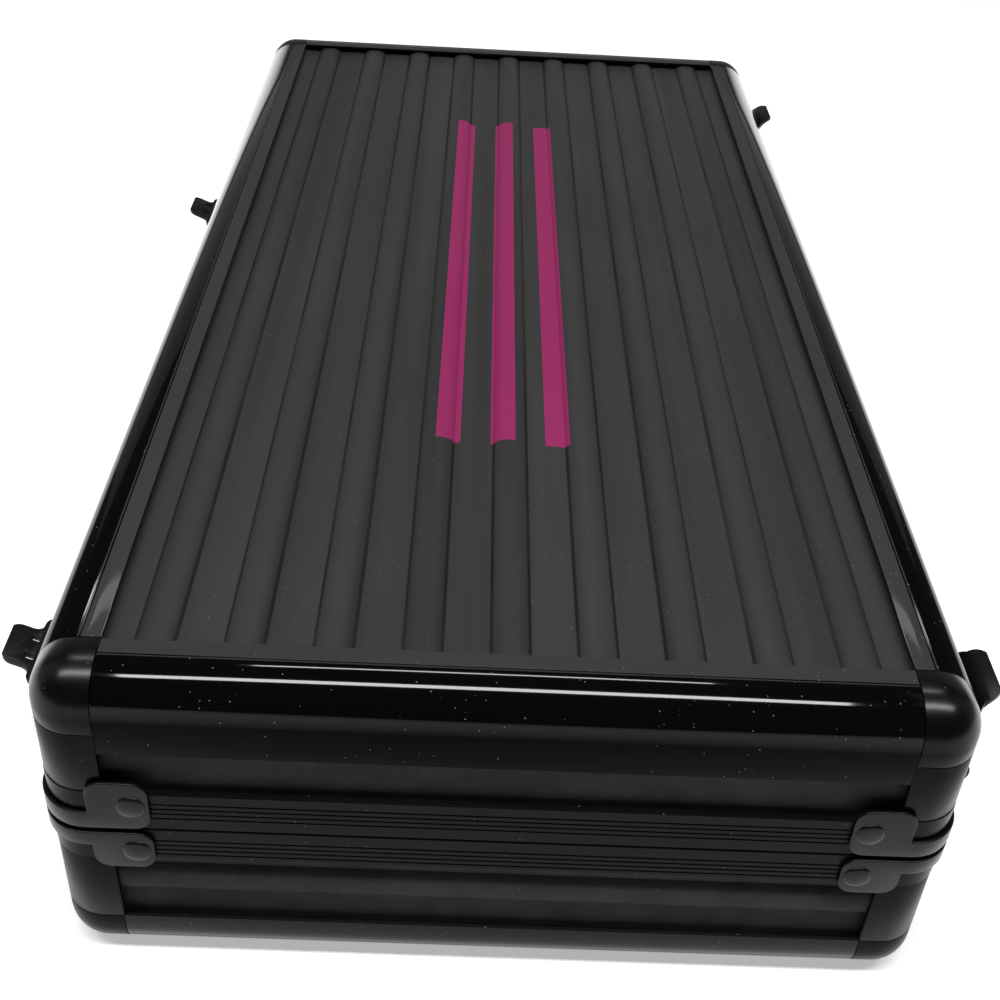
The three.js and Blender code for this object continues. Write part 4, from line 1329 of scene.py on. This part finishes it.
# Handle
def handle_bracket(y):
    half, face = HANDLE_BRACKET_WIDTH / 2, BRACKET_GAP + HANDLE_BRACKET_SHEET
    out, along = (BRACKET_GAP, face), (y - half, y + half)
    up = (-HANDLE_BRACKET_TO, -HANDLE_BRACKET_FROM)
    plate = plate_on(right_wall, "handle_bracket", out, up, along, HANDLE_BRACKET_CORNER)
    pivot = right_wall(HANDLE_PIVOT_OUT, -HANDLE_PIVOT_DOWN, y)
    loop = bevel(rod("loop", pivot, HANDLE_LOOP_RADIUS, HANDLE_BRACKET_WIDTH))
    neck = block(
        "neck",
        right_wall(BRACKET_GAP + SINK, TRIM - HANDLE_PIVOT_DOWN - HANDLE_LOOP_RADIUS, y - half + EASE),
        right_wall(HANDLE_PIVOT_OUT, HANDLE_LOOP_RADIUS - HANDLE_PIVOT_DOWN - TRIM, y + half - EASE),
    )
    combine(plate, neck, loop)
    bore = rod("bore", pivot, HANDLE_WIRE_RADIUS + HANDLE_BORE_GAP, HANDLE_BRACKET_WIDTH + BORE_OVER)
    return carve(plate, bore)


def hanging(out, up, along):
    """A place on the handle as if it hung straight down from its pivots."""
    return right_wall(HANDLE_PIVOT_OUT + out, up - HANDLE_PIVOT_DOWN, along)


def lean(piece):
    pivot = Matrix.Translation(hanging(0, 0, 0))
    piece.data.transform(pivot @ Matrix.Rotation(math.radians(-HANDLE_LEAN), 4, "Y") @ pivot.inverted())
    return piece


def handle_bail():
    """One round wire: drawn straight and spun through its four bends."""
    end = HANDLE_SPAN / 2
    arm = end - HANDLE_BRACKET_WIDTH - HANDLE_SHOULDER
    deselect()
    bpy.ops.mesh.primitive_circle_add(
        vertices=HANDLE_WIRE_SIDES,
        radius=HANDLE_WIRE_RADIUS * MM,
        fill_type="NGON",
        location=hanging(0, 0, -end),
        rotation=ALONG_Y,
    )
    piece = name_piece("bail_wire")
    edit()
    bpy.ops.mesh.select_mode(type="FACE")
    select_all()
    bend, drop = HANDLE_BEND, HANDLE_DROP
    push(Vector((0, end - arm - bend, 0)) * MM)
    runs = (
        ((0, -bend, -arm - bend), 1, (0, 0, -(drop - 2 * bend))),
        ((0, bend - drop, bend - arm), -1, (0, 2 * (arm - bend), 0)),
        ((0, bend - drop, arm - bend), -1, (0, 0, drop - 2 * bend)),
        ((0, -bend, arm + bend), 1, (0, end - arm - bend, 0)),
    )
    for centre, way, step in runs:
        bpy.ops.mesh.spin(
            steps=BEND_STEPS, angle=way * math.pi / 2, center=hanging(*centre), axis=(1, 0, 0), dupli=False
        )
        push(Vector(step) * MM)
    weld(BEND_WELD)
    face_out()
    leave()
    return lean(bevel(piece, angle=50))


def handle_grip():
    """A swelling grip spun from its side view, with a shallow ring near each end."""
    half = HANDLE_SPAN / 2 - HANDLE_BRACKET_WIDTH - HANDLE_SHOULDER - HANDLE_BEND - GRIP_END_GAP
    bore = HANDLE_WIRE_RADIUS + FIT_GAP
    side = [(bore, -half)]
    side += [(GRIP_END_RADIUS - down, along - half) for down, along in GRIP_END_ROUND]
    for step in range(1, GRIP_STEPS):
        along = 2 * step / GRIP_STEPS - 1
        swell = math.cos(along * math.pi / 2) ** GRIP_BULGE
        radius = GRIP_END_RADIUS + (GRIP_RADIUS - GRIP_END_RADIUS) * swell
        ring = math.exp(-(((abs(along) - GRIP_RING) / GRIP_RING_WIDTH) ** 2))
        side.append((radius - GRIP_RING_DEPTH * ring - GRIP_TRIM, along * half))
    side += [(GRIP_END_RADIUS - down, half - along) for down, along in reversed(GRIP_END_ROUND)]
    side.append((bore, half))
    places = [hanging(radius, -HANDLE_DROP, along) for radius, along in side]
    piece = draw_line("carrying_grip", places, closed=True)
    centre = hanging(0, -HANDLE_DROP, 0)
    bpy.ops.mesh.spin(steps=GRIP_SIDES, angle=2 * math.pi, center=centre, axis=(0, 1, 0), dupli=False)
    weld(BEND_WELD)
    face_out()
    leave()
    return lean(piece)


# Foam
def rounded_outline(width, length, radius, height):
    x, y = width / 2 - radius, length / 2 - radius
    corners = ((x, y, 0), (-x, y, 90), (-x, -y, 180), (x, -y, 270))
    return [
        at(across, along, height)
        for cx, cy, start in corners
        for across, along in arc((cx, cy), radius, start, start + 90, FOAM_CORNER_STEPS)
    ]


def base_foam():
    low, high = LEG_BACK + FOAM_GAP, BASE_HEIGHT - BASE_FOAM_DOWN
    floor = high - CAVITY_DEPTH
    body = draw_out("foam_insert", rounded_outline(*FOAM_SIZE, FOAM_RADIUS, low), (0, 0, (high - low) * MM))
    outline = rounded_outline(*CAVITY_SIZE, CAVITY_RADIUS, floor)
    cavity = draw_out("cavity", outline, (0, 0, (CAVITY_DEPTH + CAVITY_OVER) * MM))
    depth = CAVITY_DEPTH + 2 * CAVITY_OVER
    for way in (-1, 1):
        place = at(way * CAVITY_SIZE[0] / 2, 0, floor + depth / 2)
        combine(cavity, rod("notch", place, NOTCH_RADIUS, depth, (0, 0, 0), NOTCH_SIDES))
    carve(body, cavity)
    return bevel(body, FOAM_EASE, 4)


def lid_foam():
    """A block with rows of soft peaks towards the keyboard, pulled out with a smooth fall-off."""
    high = CASE_HEIGHT - LEG_BACK - FOAM_GAP
    low = high - LID_FOAM_THICK
    deselect()
    width, length = FOAM_SIZE
    bpy.ops.mesh.primitive_grid_add(
        x_subdivisions=LINER_GRID[0],
        y_subdivisions=LINER_GRID[1],
        size=1,
        location=at(0, 0, low + PEAK_RISE),
    )
    bpy.context.object.scale = (width * MM, length * MM, 1)
    piece = name_piece("foam_liner")
    edit()
    spots = [(column, row) for column in PEAK_COLUMNS for row in PEAK_ROWS]
    peaks = [at(PEAK_PITCH * column, PEAK_PITCH * row, low + PEAK_RISE) for column, row in spots]
    near = PEAK_TIP * MM
    select_where(piece, "VERT", lambda vertex: any((vertex.co - peak).length < near for peak in peaks))
    bpy.ops.transform.translate(
        value=(0, 0, -PEAK_RISE * MM),
        use_proportional_edit=True,
        proportional_edit_falloff="SMOOTH",
        proportional_size=PEAK_SPREAD * PEAK_PITCH * MM,
    )
    bpy.ops.mesh.select_mode(type="FACE")
    select_all()
    push(Vector((0, 0, (high - low) * MM)))
    bpy.ops.transform.resize(value=(1, 1, 0), center_override=at(0, 0, high))
    face_out()
    leave()
    outline = rounded_outline(*FOAM_SIZE, FOAM_RADIUS, low - LINER_TRIM_BELOW)
    trimmer = draw_out("trimmer", outline, (0, 0, LINER_TRIM_HEIGHT * MM))
    return combine(piece, trimmer, operation="INTERSECT")


def latch(y):
    return {
        "plate": latch_plate(y),
        "lever": latch_lever(y),
        "hook": latch_hook(y),
        "keeper": latch_keeper(y),
    }


def handle_end(y):
    return {"bracket": handle_bracket(y)}


# Each pair of fittings is made once at the front and copied to the back; each part has its body and its slot
FITTINGS = (
    (
        "hinge",
        HINGE_Y,
        hinge,
        {
            "lower_leaf": ("base", "hinge_leaf"),
            "upper_leaf": ("lid", "hinge_leaf"),
            "pin": ("base", "pin_steel"),
        },
    ),
    (
        "latch",
        LATCH_Y,
        latch,
        {
            "plate": ("lid", "latch_sheet"),
            "lever": ("latch_lever_{}", "latch_sheet"),
            "hook": ("latch_hook_{}", "pin_steel"),
            "keeper": ("base", "latch_sheet"),
        },
    ),
    ("handle", HANDLE_Y, handle_end, {"bracket": ("base", "hinge_leaf")}),
)
for group, place_y, make, parts in FITTINGS:
    for part, made_piece in make(-place_y).items():
        smooth(made_piece, 35)
        carrier, slot = parts[part]
        far_piece = copy_of(made_piece, f"back_{group}_{part}", Matrix.Translation((0, 2 * place_y * MM, 0)))
        made_piece.name = made_piece.data.name = f"front_{group}_{part}"
        fit(made_piece, f"{group}_front_{part}", carrier.format("front"), slot)
        fit(far_piece, f"{group}_back_{part}", carrier.format("back"), slot)
fit(smooth(handle_bail(), 35), "handle_bail", "handle", "pin_steel")
fit(smooth(handle_grip(), 35), "handle_grip", "handle", "handle_grip")
for made_piece, node_name, carrier in ((base_foam(), "base_foam", "base"), (lid_foam(), "lid_foam", "lid")):
    fit(smooth(made_piece, 40), node_name, carrier, "foam")
bpy.data.objects.remove(rivet_shape)

# The plain solids get the finishes of their slots too
for node_name, node in frame["nodes"].items():
    for spec in frame["record"]["subparts"]:
        if spec["node"] == node_name:
            node.data.materials.clear()
            node.data.materials.append(FINISHES[spec["material_slot"]])


# Studio
FLOOR_FADE = (0.7, 3.5)
FLOOR_GLOW = 0.42
ROOM_LIGHT = 0.05
CAMERA_PLACE = (-12.78, -435.25, 313.0)
CAMERA_TURN = (0.9321, -0.0503, 0.0043)
CAMERA_LENS = 50.11
CAMERA_SHIFT = (0.0007, -0.0029)


def floor_finish():
    """Pale paper that glows a little round the case, less so further away."""
    made = Finish("pale floor", Roughness=0.7)
    away = made.add("ShaderNodeVectorMath", {0: made.place}, operation="LENGTH").outputs["Value"]
    made.drive("Base Color", made.mix(made.noise(2, 2), grey(0.85), grey(0.88)))
    made.drive("Emission Strength", made.band(away, *FLOOR_FADE, FLOOR_GLOW, 0))
    made.shader.inputs["Emission Color"].default_value = (1, 1, 1, 1)
    return made.material


def studio():
    deselect()
    bpy.ops.mesh.primitive_plane_add(size=30)
    floor = bpy.context.object
    floor.name = "floor"
    floor.data.materials.append(floor_finish())
    world = bpy.data.worlds.new("studio")
    bpy.context.scene.world = world
    world.use_nodes = True
    background = world.node_tree.nodes["Background"]
    background.inputs["Color"].default_value = (1, 1, 1, 1)
    background.inputs["Strength"].default_value = ROOM_LIGHT
    bpy.context.scene.view_settings.view_transform = "Standard"


def soft_light(name, place, aim, width, depth, power):
    """A lit rectangle; place, aim and size are in metres and the power in watts."""
    data = bpy.data.lights.new(name, "AREA")
    data.shape = "RECTANGLE"
    data.size = width
    data.size_y = depth
    data.energy = power
    light = bpy.data.objects.new(name, data)
    bpy.context.scene.collection.objects.link(light)
    light.location = place
    light.rotation_euler = (Vector(aim) - Vector(place)).to_track_quat("-Z", "Y").to_euler()


def camera():
    data = bpy.data.cameras.new("camera")
    made = bpy.data.objects.new("camera", data)
    bpy.context.scene.collection.objects.link(made)
    data.sensor_width = 36
    data.lens = CAMERA_LENS
    data.shift_x, data.shift_y = CAMERA_SHIFT
    made.location = at(*CAMERA_PLACE)
    made.rotation_euler = CAMERA_TURN
    bpy.context.scene.camera = made


studio()
soft_light("overhead", (0, -0.45, 1.3), (0, -0.1, 0), 1.8, 0.16, 21)
soft_light("back strip", (0, 0.74, 1.85), (0, -0.1, 0), 1.5, 0.1, 9)
soft_light("left wall", (-2.4, 0.2, 0.9), (0, 0.1, 0), 1.4, 3, 4)
soft_light("right wall", (2.4, 0.2, 0.9), (0, 0.1, 0), 1.4, 3, 2.5)
soft_light("far wall", (0, 3.2, 1.2), (0, 0, 0.1), 8, 2.2, 8)
camera()
